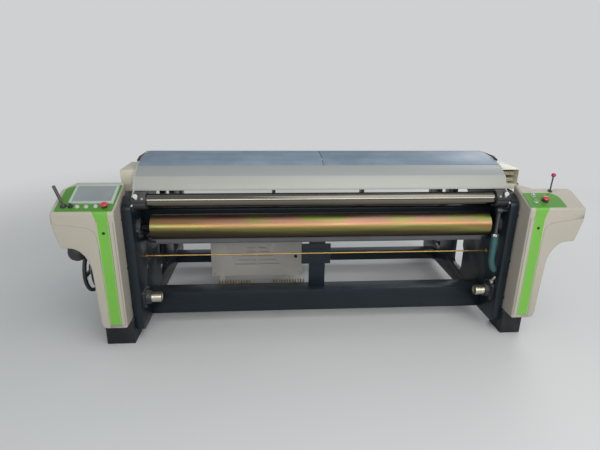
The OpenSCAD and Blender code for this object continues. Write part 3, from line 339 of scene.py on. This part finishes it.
# Beams, post and cradles between the frames
# Folded and rolled steel tubes in the frames' paint; the centre post carries a bolted splice
# plate, and the spring rail is a channel open below.
softened(machine_paint, "front_lower_beam", "front_upper_beam", "centre_post", "rear_beams", "beam_cradles",
    "spring_rail", bevel=0.0015)

# Gear cases
# Oil-tight iron castings outside the frames, each closed by a bolted lid. The arms of the press
# roller are cast and painted like them.
softened(machine_paint, "gear_cases", "press_arms", bevel=0.002)

# Breast tube and its clamps
# A chromed steel tube that the cloth runs over, held at each end in a black split clamp.
chrome = finish("breast_tube_chrome", (0.185, 0.172, 0.143), (0.15, 0.139, 0.116), 0.11, metallic=1.0,
    patches=2.0, dirt=0.15, grain_scale=900.0, grain_height=0.000004)
softened(chrome, "breast_tube")
clamp_black = finish("satin_black_metal", (0.020, 0.020, 0.022), (0.035, 0.035, 0.038), 0.42, dirt=0.3)
softened(clamp_black, "breast_clamps", bevel=0.0012)
softened(clamp_black, "bearing_housings")


def only(piece):
    bpy.ops.object.select_all(action="DESELECT")
    piece.select_set(True)
    bpy.context.view_layer.objects.active = piece


def started(add, **given):
    """Adds a primitive with nothing else selected and opens it in edit mode, selected all over."""
    bpy.ops.object.select_all(action="DESELECT")
    add(**given)
    bpy.ops.object.transform_apply(location=True, rotation=True, scale=True)
    bpy.ops.object.mode_set(mode="EDIT")
    bpy.ops.mesh.select_all(action="SELECT")
    return bpy.context.object


def pick(kind, test):
    """In edit mode, selects the faces or edges whose middle and direction pass the test."""
    mesh = bmesh.from_edit_mesh(bpy.context.object.data)
    bpy.ops.mesh.select_all(action="DESELECT")
    bpy.ops.mesh.select_mode(type=kind)
    for part in mesh.faces if kind == "FACE" else mesh.edges:
        if kind == "FACE":
            middle, way = part.calc_center_median(), part.normal
        else:
            ends = [v.co for v in part.verts]
            middle, way = (ends[0] + ends[1]) / 2, (ends[1] - ends[0]).normalized()
        part.select_set(test(middle, way))
    bmesh.update_edit_mesh(bpy.context.object.data)


def settle(piece, name, material, body, angle=35):
    """Puts a new piece's place into its mesh, gives it its finish and lets it ride on its body."""
    only(piece)
    bpy.ops.object.transform_apply(location=True, rotation=True, scale=True)
    piece.name = name
    if material:
        piece.data.materials.clear()
        piece.data.materials.append(material)
    bpy.ops.object.shade_smooth_by_angle(angle=math.radians(angle))
    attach(piece, body)


def set_out(piece, places, name, material, body, angle=35):
    """Copies a new piece to each further place, measured from the first, and settles them all."""
    pieces = [piece]
    for step in places:
        only(piece)
        bpy.ops.object.duplicate()
        bpy.ops.transform.translate(value=step)
        pieces.append(bpy.context.object)
    for number, one in enumerate(pieces, 1):
        settle(one, f"{name}_{number}", material, body, angle)


def socket_screw(radius, tall, place, turn=(0, 0, 0)):
    """Cylinder head with a broken rim and a sunk socket, its top along +Z before it is turned."""
    screw = started(bpy.ops.mesh.primitive_cylinder_add, vertices=24, radius=radius, depth=tall)
    pick("FACE", lambda middle, way: way.z > 0.9)
    bpy.ops.mesh.inset(thickness=0.14 * radius)
    bpy.ops.transform.translate(value=(0, 0, 0.12 * radius))
    bpy.ops.mesh.inset(thickness=0.36 * radius)
    bpy.ops.mesh.extrude_region_move(TRANSFORM_OT_translate={"value": (0, 0, -0.5 * tall)})
    bpy.ops.object.mode_set(mode="OBJECT")
    screw.location = place
    screw.rotation_euler = turn
    return screw


plug_white = finish("white_plug", (0.68, 0.67, 0.63), (0.58, 0.57, 0.53), 0.4, patches=40.0, dirt=0.05)
zinc = finish("bright_zinc", (0.66, 0.66, 0.64), (0.50, 0.49, 0.46), 0.28, metallic=0.9, patches=60.0,
    dirt=0.05)
# Half the clear gap between the side frames
half = 1.1
facing_weaver = (math.radians(90), 0, 0)
screw_radius, screw_tall, screw_spacing = 0.0088, 0.009, 0.032
plate_screw_radius, plate_screw_tall = 0.0065, 0.006
plug_radius, plug_tall = 0.0128, 0.008
for side in (-1, 1):
    label = "left" if side < 0 else "right"
    set_out(socket_screw(screw_radius, screw_tall, (side * (half - 0.028), -0.585, 0.8945)),
        [(-side * screw_spacing, 0, 0)], label + "_clamp_screw", zinc, "loom_frame")
    settle(socket_screw(plate_screw_radius, plate_screw_tall, (side * (half - 0.004), -0.598, 0.858),
        facing_weaver), label + "_clamp_plate_screw", zinc, "loom_frame")
    settle(socket_screw(plug_radius, plug_tall, (side * (half - 0.027), -0.592, 0.910), facing_weaver),
        label + "_clamp_plug", plug_white, "loom_frame")

# Take-up roller
# A steel drum, zinc plated and yellow passivated; its thin film changes from gold to rose and brown
# around each half turn and is blotted with green; its near-black band is painted shade, turned under the drum
# and, each half turn, over its top.
def where_on(tree, centre=(0, 0, 0)):
    """X, Y and Z of Object coordinates, measured from a centre."""
    centred = tree.nodes.new("ShaderNodeMapping")
    centred.inputs["Location"].default_value = [-v for v in centre]
    tree.links.new(tree.nodes.new("ShaderNodeTexCoord").outputs["Object"], centred.inputs["Vector"])
    parts = tree.nodes.new("ShaderNodeSeparateXYZ")
    tree.links.new(centred.outputs[0], parts.inputs[0])
    return parts.outputs


drum_axis, drum_end = (0, -0.515, 0.705), 1.0142
drum_finish = bpy.data.materials.new("yellow_passivated_drum")
drum_finish.use_nodes = True
tree = drum_finish.node_tree
shader = tree.nodes["Principled BSDF"]
place = where_on(tree, drum_axis)
half_turns = product(tree, worked(tree, "ARCTAN2", place["Z"], place["Y"]), 1 / math.pi)
# The phase turns the colours so that the near-black stops, which are painted shade, lie under the drum as the
# weaver sees it.
drift_per_metre, film_and_shade_phase, unevenness = -0.08, -0.225, 0.40
drift = worked(tree, "MULTIPLY_ADD", place["X"], drift_per_metre, film_and_shade_phase)
waver = worked(tree, "MULTIPLY_ADD", cloud(tree, 4.0, 3, (0.30, 4.0, 4.0)), unevenness,
    worked(tree, "ADD", half_turns, drift))
order = worked(tree, "FRACT", waver)
film_and_shade_ramp = tree.nodes.new("ShaderNodeValToRGB")
olive, green_blot, oily_steel = (0.19, 0.16, 0.055), (0.20, 0.29, 0.05), (0.030, 0.030, 0.034)
film_and_shade_ramp.color_ramp.elements[0].color = film_and_shade_ramp.color_ramp.elements[1].color = (*olive, 1)
# The near-black stops from 0.06 to 0.38 are painted shade for the drum's dark underside; the other stops are
# the film's own gold, rose and olive.
for spot, colour in ((0.06, (0.095, 0.085, 0.036)), (0.17, (0.068, 0.052, 0.038)),
                     (0.38, (0.070, 0.050, 0.040)), (0.48, (0.22, 0.145, 0.10)), (0.56, (0.40, 0.26, 0.18)),
                     (0.67, (0.33, 0.18, 0.145)), (0.80, (0.36, 0.19, 0.11)), (0.86, (0.32, 0.19, 0.073)),
                     (0.92, (0.27, 0.25, 0.09)), (0.96, (0.21, 0.19, 0.066))):
    film_and_shade_ramp.color_ramp.elements.new(spot).color = (*colour, 1)
tree.links.new(order, film_and_shade_ramp.inputs[0])
blot = spread(tree, cloud(tree, 1.0, 2, (4.2, 2.5, 2.5)), 0.46, 0.62, 0.0, 0.8)
upper = product(tree, spread(tree, order, 0.52, 0.60), spread(tree, order, 0.72, 0.80, 1.0, 0.0))
greened = mixed(tree, product(tree, blot, upper), film_and_shade_ramp.outputs[0], green_blot)
# The journals beyond the drum's ends are left bare and oily
past_drum = spread(tree, worked(tree, "ABSOLUTE", place["X"]), drum_end, drum_end + 0.0002)
tree.links.new(mixed(tree, past_drum, greened, oily_steel), shader.inputs["Base Color"])
shader.inputs["Metallic"].default_value = 1.0
brushed = cloud(tree, 40.0, 4, (0.1, 1.0, 1.0))
tree.links.new(spread(tree, brushed, 0.3, 0.7, 0.34, 0.46), shader.inputs["Roughness"])
softened(drum_finish, "take_up_roller")

# Press roller, shafts, release lever, chucks and yellow rod
# Grey rubber on a steel core and bare turned shafts; a black steel lever with a teal plastic grip;
# turned and zinc plated chucks for the cloth roller's ends, with a latch; a yellow passivated rod.
rubber = finish("grey_roller_rubber", (0.09, 0.095, 0.10), (0.13, 0.135, 0.14), 0.7, dirt=0.3)
softened(rubber, "press_roller")
bare_steel = finish("bare_machined_steel", (0.50, 0.50, 0.50), (0.36, 0.35, 0.33), 0.30, metallic=1.0,
    patches=14.0, amount=0.6, dirt=0.1, grain_scale=800.0, grain_height=0.00002)
softened(bare_steel, "main_shaft", "back_rest_roller")
warm_zinc = finish("warm_zinc", (0.60, 0.575, 0.46), (0.46, 0.43, 0.33), 0.30, metallic=0.95, patches=30.0,
    dirt=0.1)
softened(warm_zinc, "left_chuck", "right_chuck")
latch_zinc = finish("latch_zinc", (0.62, 0.60, 0.50), (0.52, 0.50, 0.42), 0.35, metallic=0.6)
softened(latch_zinc, "chuck_latch", bevel=0.0008)
lever_black = finish("lever_black", (0.022, 0.024, 0.026), (0.04, 0.042, 0.045), 0.38, dirt=0.1)
softened(lever_black, "release_lever")
nut_radius, nut_tall, nut_chamfer = 0.0215, 0.016, 0.0022
nut = started(bpy.ops.mesh.primitive_cylinder_add, vertices=6, radius=nut_radius, depth=nut_tall,
    location=(half - 0.048, -0.575, 0.647))
pick("EDGE", lambda middle, way: abs(way.z) < 0.5)
bpy.ops.mesh.bevel(offset=nut_chamfer, segments=2)
bpy.ops.object.mode_set(mode="OBJECT")
settle(nut, "lever_nut", zinc, "release_lever")
teal = finish("teal_grip", (0.022, 0.085, 0.088), (0.035, 0.115, 0.115), 0.45, dirt=0.06)
softened(teal, "release_grip")
yellow_zinc = finish("yellow_passivated_steel", (0.56, 0.38, 0.10), (0.62, 0.33, 0.20), 0.32, metallic=0.9,
    patches=20.0)
softened(yellow_zinc, "yellow_rod")

# Top cover
# A bent and painted front fascia, cheeks at both ends and two hinged lids that still wear their
# pale blue protective film.
cream_paint = finish("cream_sheet_paint", (0.40, 0.405, 0.365), (0.345, 0.35, 0.315), 0.42, patches=1.6,
    dirt=0.10, grain_scale=420.0)
softened(cream_paint, "lid_cheeks", "tower_backs", bevel=0.001)


def under_paint(material):
    """A finish's nodes, its shader and the colour that feeds it, to paint a detail over."""
    shader = material.node_tree.nodes["Principled BSDF"]
    return material.node_tree, shader, shader.inputs["Base Color"].links[0].from_socket


# The fascia's upper leaf, above the crease, still wears a clear film that greys it
crease, film_grey = 1.0015, (0.285, 0.30, 0.30)
filmed_paint = finish("filmed_cream_paint", (0.40, 0.405, 0.365), (0.345, 0.35, 0.315), 0.42, patches=1.6,
    dirt=0.10, grain_scale=420.0)
tree, shader, bare = under_paint(filmed_paint)
above = spread(tree, where_on(tree)["Z"], crease, crease + 0.002, 0.0, 0.75)
tree.links.new(mixed(tree, above, bare, film_grey), shader.inputs["Base Color"])
softened(filmed_paint, "front_fascia", bevel=0.001)
# The lids' blue film lies in faint streaks along them
streak_blue = (0.115, 0.175, 0.26)
lid_film = finish("pale_blue_lid_film", (0.165, 0.225, 0.285), (0.23, 0.295, 0.355), 0.52, patches=7.0,
    amount=0.8, dirt=0.04, grain_scale=26.0, grain_height=0.0012)
tree, shader, bare = under_paint(lid_film)
streak = spread(tree, cloud(tree, 26.0, 3, (0.035, 1.0, 1.0)), 0.50, 0.66, 0.0, 0.55)
tree.links.new(mixed(tree, streak, bare, streak_blue), shader.inputs["Base Color"])
softened(lid_film, "left_lid", "right_lid", bevel=0.001)

# Rubber edging of the cheeks
# A black rubber strip pushed over each cheek's outer edge, from the lid's front corner back over
# the top and down behind it.
edging = finish("black_edging_rubber", (0.012, 0.012, 0.013), (0.022, 0.022, 0.024), 0.55, dirt=0.1)
strip_radius, front_corner_y, front_corner_z = 0.0080, -0.358, 1.0695
up_the_front, over_the_top = (0, 0.043, 0.0120), [(0, 0.12, 0.0012), (0, 0.070, 0.0)]
down_behind = [(0, 0.032, -0.0150), (0, 0.018, -0.0155)]
for side in (-1, 1):
    strip = started(bpy.ops.mesh.primitive_circle_add, vertices=12, radius=strip_radius, fill_type="NGON",
        location=(side * (half + 0.002), front_corner_y, front_corner_z), rotation=facing_weaver)
    for stretch in (up_the_front, *over_the_top, *down_behind):
        bpy.ops.mesh.extrude_region_move(TRANSFORM_OT_translate={"value": stretch})
    bpy.ops.mesh.select_all(action="SELECT")
    bpy.ops.mesh.normals_make_consistent(inside=False)
    bpy.ops.object.mode_set(mode="OBJECT")
    settle(strip, ("left" if side < 0 else "right") + "_lid_edging", edging, "loom_frame")

# End boxes and the connectors of the right one
# Folded sheet boxes for the wiring in a paler beige; in the open one moulded connectors stand side
# by side on two rails, each with a socket whose floor is painted dark as shade.
box_paint = finish("end_box_paint", (0.58, 0.55, 0.43), (0.50, 0.47, 0.36), 0.45, patches=4.0, dirt=0.08)
softened(box_paint, "end_boxes", bevel=0.001)
beige = finish("connector_beige", (0.50, 0.47, 0.33), (0.42, 0.39, 0.27), 0.5, patches=30.0, dirt=0.1)
# The sockets' floors are painted near black: painted shade in the recess.
socket_painted_shade = finish("socket_painted_shade", (0.035, 0.032, 0.022), (0.06, 0.055, 0.04), 0.6, dirt=0.0)
connector_size, connector_pitch, in_a_row = (0.0135, 0.066, 0.020), 0.0155, 7
socket_wall, socket_depth = 0.0028, 0.009
for row, rail_height in enumerate((0.952, 0.992), 1):
    connector = started(bpy.ops.mesh.primitive_cube_add, size=1, scale=connector_size,
        location=(half + 0.0205, -0.360, rail_height))
    bpy.ops.mesh.bevel(offset=0.0012, segments=2)
    pick("FACE", lambda middle, way: way.y < -0.95)
    bpy.ops.mesh.inset(thickness=socket_wall)
    bpy.ops.mesh.extrude_region_move(TRANSFORM_OT_translate={"value": (0, socket_depth, 0)})
    connector.data.materials.append(beige)
    connector.data.materials.append(socket_painted_shade)
    connector.active_material_index = 1
    bpy.ops.object.material_slot_assign()
    bpy.ops.object.mode_set(mode="OBJECT")
    set_out(connector, [(connector_pitch * step, 0, 0) for step in range(1, in_a_row)],
        f"terminal_row_{row}", None, "loom_frame")
# A screw knob with flats all round closes the box at its outer end
knob_radius, knob_deep, flats = 0.0105, 0.016, 14
knob_y, knob_z = -0.405, 0.924
knob = started(bpy.ops.mesh.primitive_cylinder_add, vertices=2 * flats, radius=knob_radius, depth=knob_deep,
    rotation=(0, math.radians(90), 0), location=(half + 0.132, knob_y, knob_z))


def every_other_edge(middle, way):
    """Edges along the knob, every second one around it."""
    return abs(way.x) > 0.9 and round(math.atan2(middle.y - knob_y, knob_z - middle.z) * flats / math.pi) % 2


pick("EDGE", every_other_edge)
bpy.ops.transform.resize(value=(0.90, 0.90, 1))
pick("FACE", lambda middle, way: way.x > 0.9)
bpy.ops.mesh.inset(thickness=0.002)
bpy.ops.transform.translate(value=(0.0015, 0, 0))
bpy.ops.object.mode_set(mode="OBJECT")
settle(knob, "end_box_screw_knob", edging, "loom_frame")

# Electric cabinet
# A folded sheet steel box in pale grey-beige paint; its front cover has pressed louvres and is held
# by four screws and two quarter-turn catches.
cabinet_paint = finish("cabinet_paint", (0.56, 0.54, 0.49), (0.48, 0.46, 0.42), 0.42, patches=2.5, dirt=0.15)
softened(cabinet_paint, "electric_cabinet", "louvre_cover", bevel=0.001)
cover_low, cover_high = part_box("louvre_cover")
front = cover_low[1]
screw_radius, screw_tall, from_edge, proud = 0.006, 0.004, 0.022, 0.0005
right_by, down_by = cover_high[0] - cover_low[0] - 2 * from_edge, cover_low[2] - cover_high[2] + 2 * from_edge
first_corner = (cover_low[0] + from_edge, front + proud, cover_high[2] - from_edge)
set_out(socket_screw(screw_radius, screw_tall, first_corner, facing_weaver),
    [(right_by, 0, 0), (0, 0, down_by), (right_by, 0, down_by)], "cabinet_screw", zinc, "loom_frame")
catch_radius, catch_tall, catch_spacing = 0.013, 0.006, 0.20
upper_catch = (cover_high[0] - 0.05, front + proud, 0.45)
set_out(socket_screw(catch_radius, catch_tall, upper_catch, facing_weaver), [(0, 0, -catch_spacing)],
    "cabinet_catch", clamp_black, "loom_frame")

# Tower covers
# Moulded covers over the controls, with rounded front edges, a seam for the lift-off part, and a
# long raised rib, in cream plastic.
moulding = finish("cream_moulding", (0.44, 0.405, 0.335), (0.37, 0.34, 0.28), 0.36, coat=0.1, patches=1.8,
    dirt=0.10, grain_scale=700.0, grain_height=0.00004)
# Painted shade lies along both sides of the rib, on the cover's front only, where the rib's step would throw
# it.
tree, shader, bare = under_paint(moulding)
place = where_on(tree)
off_middle = worked(tree, "ABSOLUTE", place["X"])
rib_low, rib_high, cover_front, rib_shade = 0.172, 0.800, -0.719, (0.10, 0.085, 0.080)
outer_side = product(tree, spread(tree, off_middle, half + 0.0853, half + 0.0860),
    spread(tree, off_middle, half + 0.0893, half + 0.0900, 1.0, 0.0))
inner_side = product(tree, spread(tree, off_middle, half + 0.0630, half + 0.0640, 0.0, 0.55),
    spread(tree, off_middle, half + 0.0675, half + 0.0682, 1.0, 0.0))
along_rib = product(tree, spread(tree, place["Z"], rib_low - 0.004, rib_low + 0.004),
    spread(tree, place["Z"], rib_high - 0.004, rib_high + 0.004, 0.72, 0.0))
on_front = spread(tree, place["Y"], cover_front - 0.0005, cover_front + 0.0005, 1.0, 0.0)
# The mask of painted shade beside the rib, which darkens the moulding's colour there.
rib_painted_shade = product(tree, product(tree, worked(tree, "ADD", outer_side, inner_side), along_rib), on_front)
tree.links.new(mixed(tree, rib_painted_shade, bare, rib_shade), shader.inputs["Base Color"])
softened(moulding, "left_tower_cover", "right_tower_cover", angle=32)

# Green stripe and panels
# Printed film stuck on the covers, one green all over; on the front its edges carry pale lines of
# painted highlight, and the sloping top is painted darker as shade.
stripe_green = finish("green_film", (0.155, 0.44, 0.045), (0.125, 0.37, 0.038), 0.36, coat=0.2, patches=3.0,
    dirt=0.04)
tree, shader, bare = under_paint(stripe_green)
place = where_on(tree)
off_middle = worked(tree, "ABSOLUTE", place["X"])
stripe_middle, stripe_edge, film_bend, flare_foot = half + 0.120, 0.0288, -0.715, 0.800
top_green_painted_shade, edge_highlight_green = (0.072, 0.25, 0.024), (0.46, 0.58, 0.30)
side_of_stripe = worked(tree, "ABSOLUTE", worked(tree, "SUBTRACT", off_middle, stripe_middle))
on_top = spread(tree, place["Y"], film_bend - 0.0015, film_bend + 0.0015)
on_front = spread(tree, place["Y"], film_bend - 0.0015, film_bend + 0.0015, 1.0, 0.0)
below_flare = spread(tree, place["Z"], flare_foot - 0.005, flare_foot + 0.005, 0.7, 0.0)
# The pale lines along the stripe's edges on the front are painted highlight, where the edges of its channel
# catch the light.
pale = product(tree, spread(tree, side_of_stripe, stripe_edge - 0.0004, stripe_edge + 0.0004),
    product(tree, on_front, below_flare))
# The sloping top is painted a darker green as shade; the film itself is one green.
green_with_painted_top_shade = mixed(tree, on_top, bare, top_green_painted_shade)
tree.links.new(mixed(tree, pale, green_with_painted_top_shade, edge_highlight_green), shader.inputs["Base Color"])
dress(stripe_green, "left_green_panel", "right_green_panel")

# Screen, buttons and levers
# A silver-rimmed touch screen, clear push buttons in bright bezels, red mushroom stop buttons,
# a selector knob and two levers in black collars.
trim = finish("silver_trim", (0.60, 0.61, 0.58), (0.50, 0.51, 0.48), 0.3, metallic=0.5, dirt=0.1)
softened(trim, "button_bezels", bevel=0.0008)
rim = finish("screen_rim", (0.44, 0.52, 0.45), (0.36, 0.43, 0.37), 0.35, coat=0.2, patches=12.0, dirt=0.1)
softened(rim, "screen_housing", bevel=0.0008)
glass = finish("screen_glass", (0.22, 0.25, 0.255), (0.29, 0.31, 0.315), 0.12, coat=0.6, patches=5.0,
    amount=0.8, dirt=0.15, grain_height=0.0)
dress(glass, "screen_glass")
black_plastic = finish("black_plastic", (0.018, 0.018, 0.019), (0.03, 0.03, 0.032), 0.5, dirt=0.2)
softened(black_plastic, "lever_collars", "selector_knob", "left_lock", "right_lock", "right_lever",
    "handwheel", bevel=0.0006)
for number, tint in enumerate(((0.54, 0.55, 0.38), (0.45, 0.49, 0.34), (0.46, 0.52, 0.47)), 1):
    cap = finish(f"clear_button_{number}", tint, tuple(0.8 * v for v in tint), 0.15, coat=0.6, dirt=0.0)
    softened(cap, f"left_button_{number}", bevel=0.0006)
grey_button = finish("grey_button", (0.20, 0.22, 0.22), (0.16, 0.18, 0.18), 0.25, coat=0.4, dirt=0.0)
softened(grey_button, "right_button_1", "right_button_2")
red = finish("stop_red", (0.54, 0.030, 0.036), (0.45, 0.022, 0.026), 0.25, coat=0.5, dirt=0.05)
softened(red, "left_stop_button", "right_stop_button")
lever_steel = finish("lever_grey_black", (0.058, 0.052, 0.044), (0.11, 0.088, 0.068), 0.45, metallic=0.3,
    dirt=0.1)
softened(lever_steel, "left_lever")
crimson = finish("crimson_ball", (0.40, 0.012, 0.06), (0.33, 0.01, 0.05), 0.2, coat=0.6, dirt=0.0)
softened(crimson, "right_lever_ball")

# Drive
# Cast iron pulleys with a black rubber belt between them, and a finned motor in grey-blue paint
# on an angle bracket outside the left frame.
motor_paint = finish("motor_paint", (0.045, 0.065, 0.085), (0.06, 0.08, 0.10), 0.4, dirt=0.3)
softened(motor_paint, "drive_motor")
cast_iron = finish("turned_cast_iron", (0.18, 0.18, 0.18), (0.12, 0.12, 0.12), 0.38, metallic=0.9)
softened(cast_iron, "motor_pulley")
belt_rubber = finish("belt_rubber", (0.014, 0.014, 0.014), (0.022, 0.022, 0.022), 0.7)
softened(belt_rubber, "drive_belt")

# Sley and reed
# The rocking shaft, its swords and the beam they carry are welded of steel and painted grey. The
# reed stands on the beam: flat steel wires between two rounded baulks, with a thicker dent at
# each end.
sley_paint = finish("sley_paint", (0.20, 0.21, 0.22), (0.15, 0.16, 0.17), 0.4)
softened(sley_paint, "sley", bevel=0.0015)
reed_steel = finish("reed_steel", (0.50, 0.50, 0.51), (0.38, 0.38, 0.39), 0.3, metallic=0.9)
reed_low, reed_high = (Vector(corner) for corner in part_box("reed"))
middle = (reed_low + reed_high) / 2
wide, baulk, into_baulk = reed_high.x - reed_low.x, 0.012, 0.001
wire_thick, wire_deep, wire_rounding, wire_pitch = 0.0007, 0.005, 0.0002, 0.002
wire_tall = reed_high.z - reed_low.z - 2 * (baulk - into_baulk)
# One wire, rounded along its edges, then a row of them one pitch apart
wires = started(bpy.ops.mesh.primitive_cube_add, size=1, scale=(wire_thick, wire_deep, wire_tall),
    location=(reed_low.x + baulk + wire_pitch / 2, middle.y, middle.z))
pick("EDGE", lambda middle, way: abs(way.z) > 0.9)
bpy.ops.mesh.bevel(offset=wire_rounding, segments=1)
bpy.ops.object.mode_set(mode="OBJECT")
row = wires.modifiers.new("row", "ARRAY")
row.use_relative_offset = False
row.use_constant_offset = True
row.constant_offset_displace = (wire_pitch, 0, 0)
row.count = int((wide - 2 * baulk) / wire_pitch)
bpy.ops.object.modifier_apply(modifier=row.name)
settle(wires, "reed_wires", reed_steel, "sley")
# The rounded baulks and the end dents that hold the wires
baulk_rounding, dent_deep, dent_chamfer = 0.0045, 0.009, 0.0008
rail = started(bpy.ops.mesh.primitive_cube_add, size=1, scale=(wide, reed_high.y - reed_low.y, baulk),
    location=(middle.x, middle.y, reed_high.z - baulk / 2))
pick("EDGE", lambda middle, way: abs(way.x) > 0.9)
bpy.ops.mesh.bevel(offset=baulk_rounding, segments=4)
bpy.ops.object.mode_set(mode="OBJECT")
set_out(rail, [(0, 0, reed_low.z - reed_high.z + baulk)], "reed_baulk", reed_steel, "sley")
end_dent = started(bpy.ops.mesh.primitive_cube_add, size=1, scale=(baulk, dent_deep, wire_tall),
    location=(reed_low.x + baulk / 2, middle.y, middle.z))
bpy.ops.mesh.bevel(offset=dent_chamfer, segments=1)
bpy.ops.object.mode_set(mode="OBJECT")
set_out(end_dent, [(wide - baulk, 0, 0)], "reed_end", reed_steel, "sley")
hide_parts("reed")

# Heald springs
# Two banks of wound and brassed steel springs, hooked on the rail below, each with a tip whose
# shank runs down into the coil.
spring_brass = finish("spring_brass", (0.46, 0.34, 0.15), (0.30, 0.22, 0.10), 0.32, metallic=0.9)
spring_low, spring_high = (Vector(corner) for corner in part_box("heald_springs"))
wire_radius, coil_radius, coil_pitch, turns, steps_a_turn = 0.0011, 0.0058, 0.0045, 7, 12
bpy.ops.object.select_all(action="DESELECT")
bpy.ops.mesh.primitive_circle_add(vertices=8, radius=wire_radius, rotation=facing_weaver,
    location=(coil_radius, 0, 0))
coil = bpy.context.object
bpy.ops.object.transform_apply(location=True, rotation=True, scale=True)
winding = coil.modifiers.new("winding", "SCREW")
winding.angle = math.radians(360)
winding.screw_offset = coil_pitch
winding.iterations = turns
winding.steps = winding.render_steps = steps_a_turn
winding.use_merge_vertices = True
bpy.ops.object.modifier_apply(modifier=winding.name)
first_spring, spring_row, spring_pitch, in_a_bank = -0.690, (spring_low.y + spring_high.y) / 2, 0.0195, 12
coil.location = (first_spring, spring_row, spring_low.z + 0.001)
# The tip and its shank
tip_radius, tip_tall, shank_tall = 0.0034, 0.010, 0.030
bpy.ops.mesh.primitive_cylinder_add(vertices=12, radius=tip_radius, depth=tip_tall,
    location=(first_spring, spring_row, spring_high.z - tip_tall / 2))
bpy.ops.object.mode_set(mode="EDIT")
pick("FACE", lambda middle, way: way.z > 0.9)
bpy.ops.mesh.inset(thickness=0.001)
bpy.ops.transform.translate(value=(0, 0, 0.0008))
pick("FACE", lambda middle, way: way.z < -0.9)
bpy.ops.mesh.inset(thickness=0.0018)
bpy.ops.mesh.extrude_region_move(TRANSFORM_OT_translate={"value": (0, 0, -shank_tall)})
bpy.ops.object.mode_set(mode="OBJECT")
coil.select_set(True)
bpy.context.view_layer.objects.active = coil
bpy.ops.object.join()
springs = bpy.context.object
bank = springs.modifiers.new("bank", "ARRAY")
bank.use_relative_offset = False
bank.use_constant_offset = True
bank.constant_offset_displace = (spring_pitch, 0, 0)
bank.count = in_a_bank
bpy.ops.object.modifier_apply(modifier=bank.name)
bpy.ops.object.mode_set(mode="EDIT")
bpy.ops.mesh.select_all(action="SELECT")
bpy.ops.mesh.fill_holes(sides=8)
bpy.ops.mesh.select_all(action="SELECT")
bpy.ops.mesh.normals_make_consistent(inside=False)
bpy.ops.object.mode_set(mode="OBJECT")
bank_spacing = 0.390
set_out(springs, [(bank_spacing, 0, 0)], "heald_spring_bank", spring_brass, "loom_frame")
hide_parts("heald_springs")
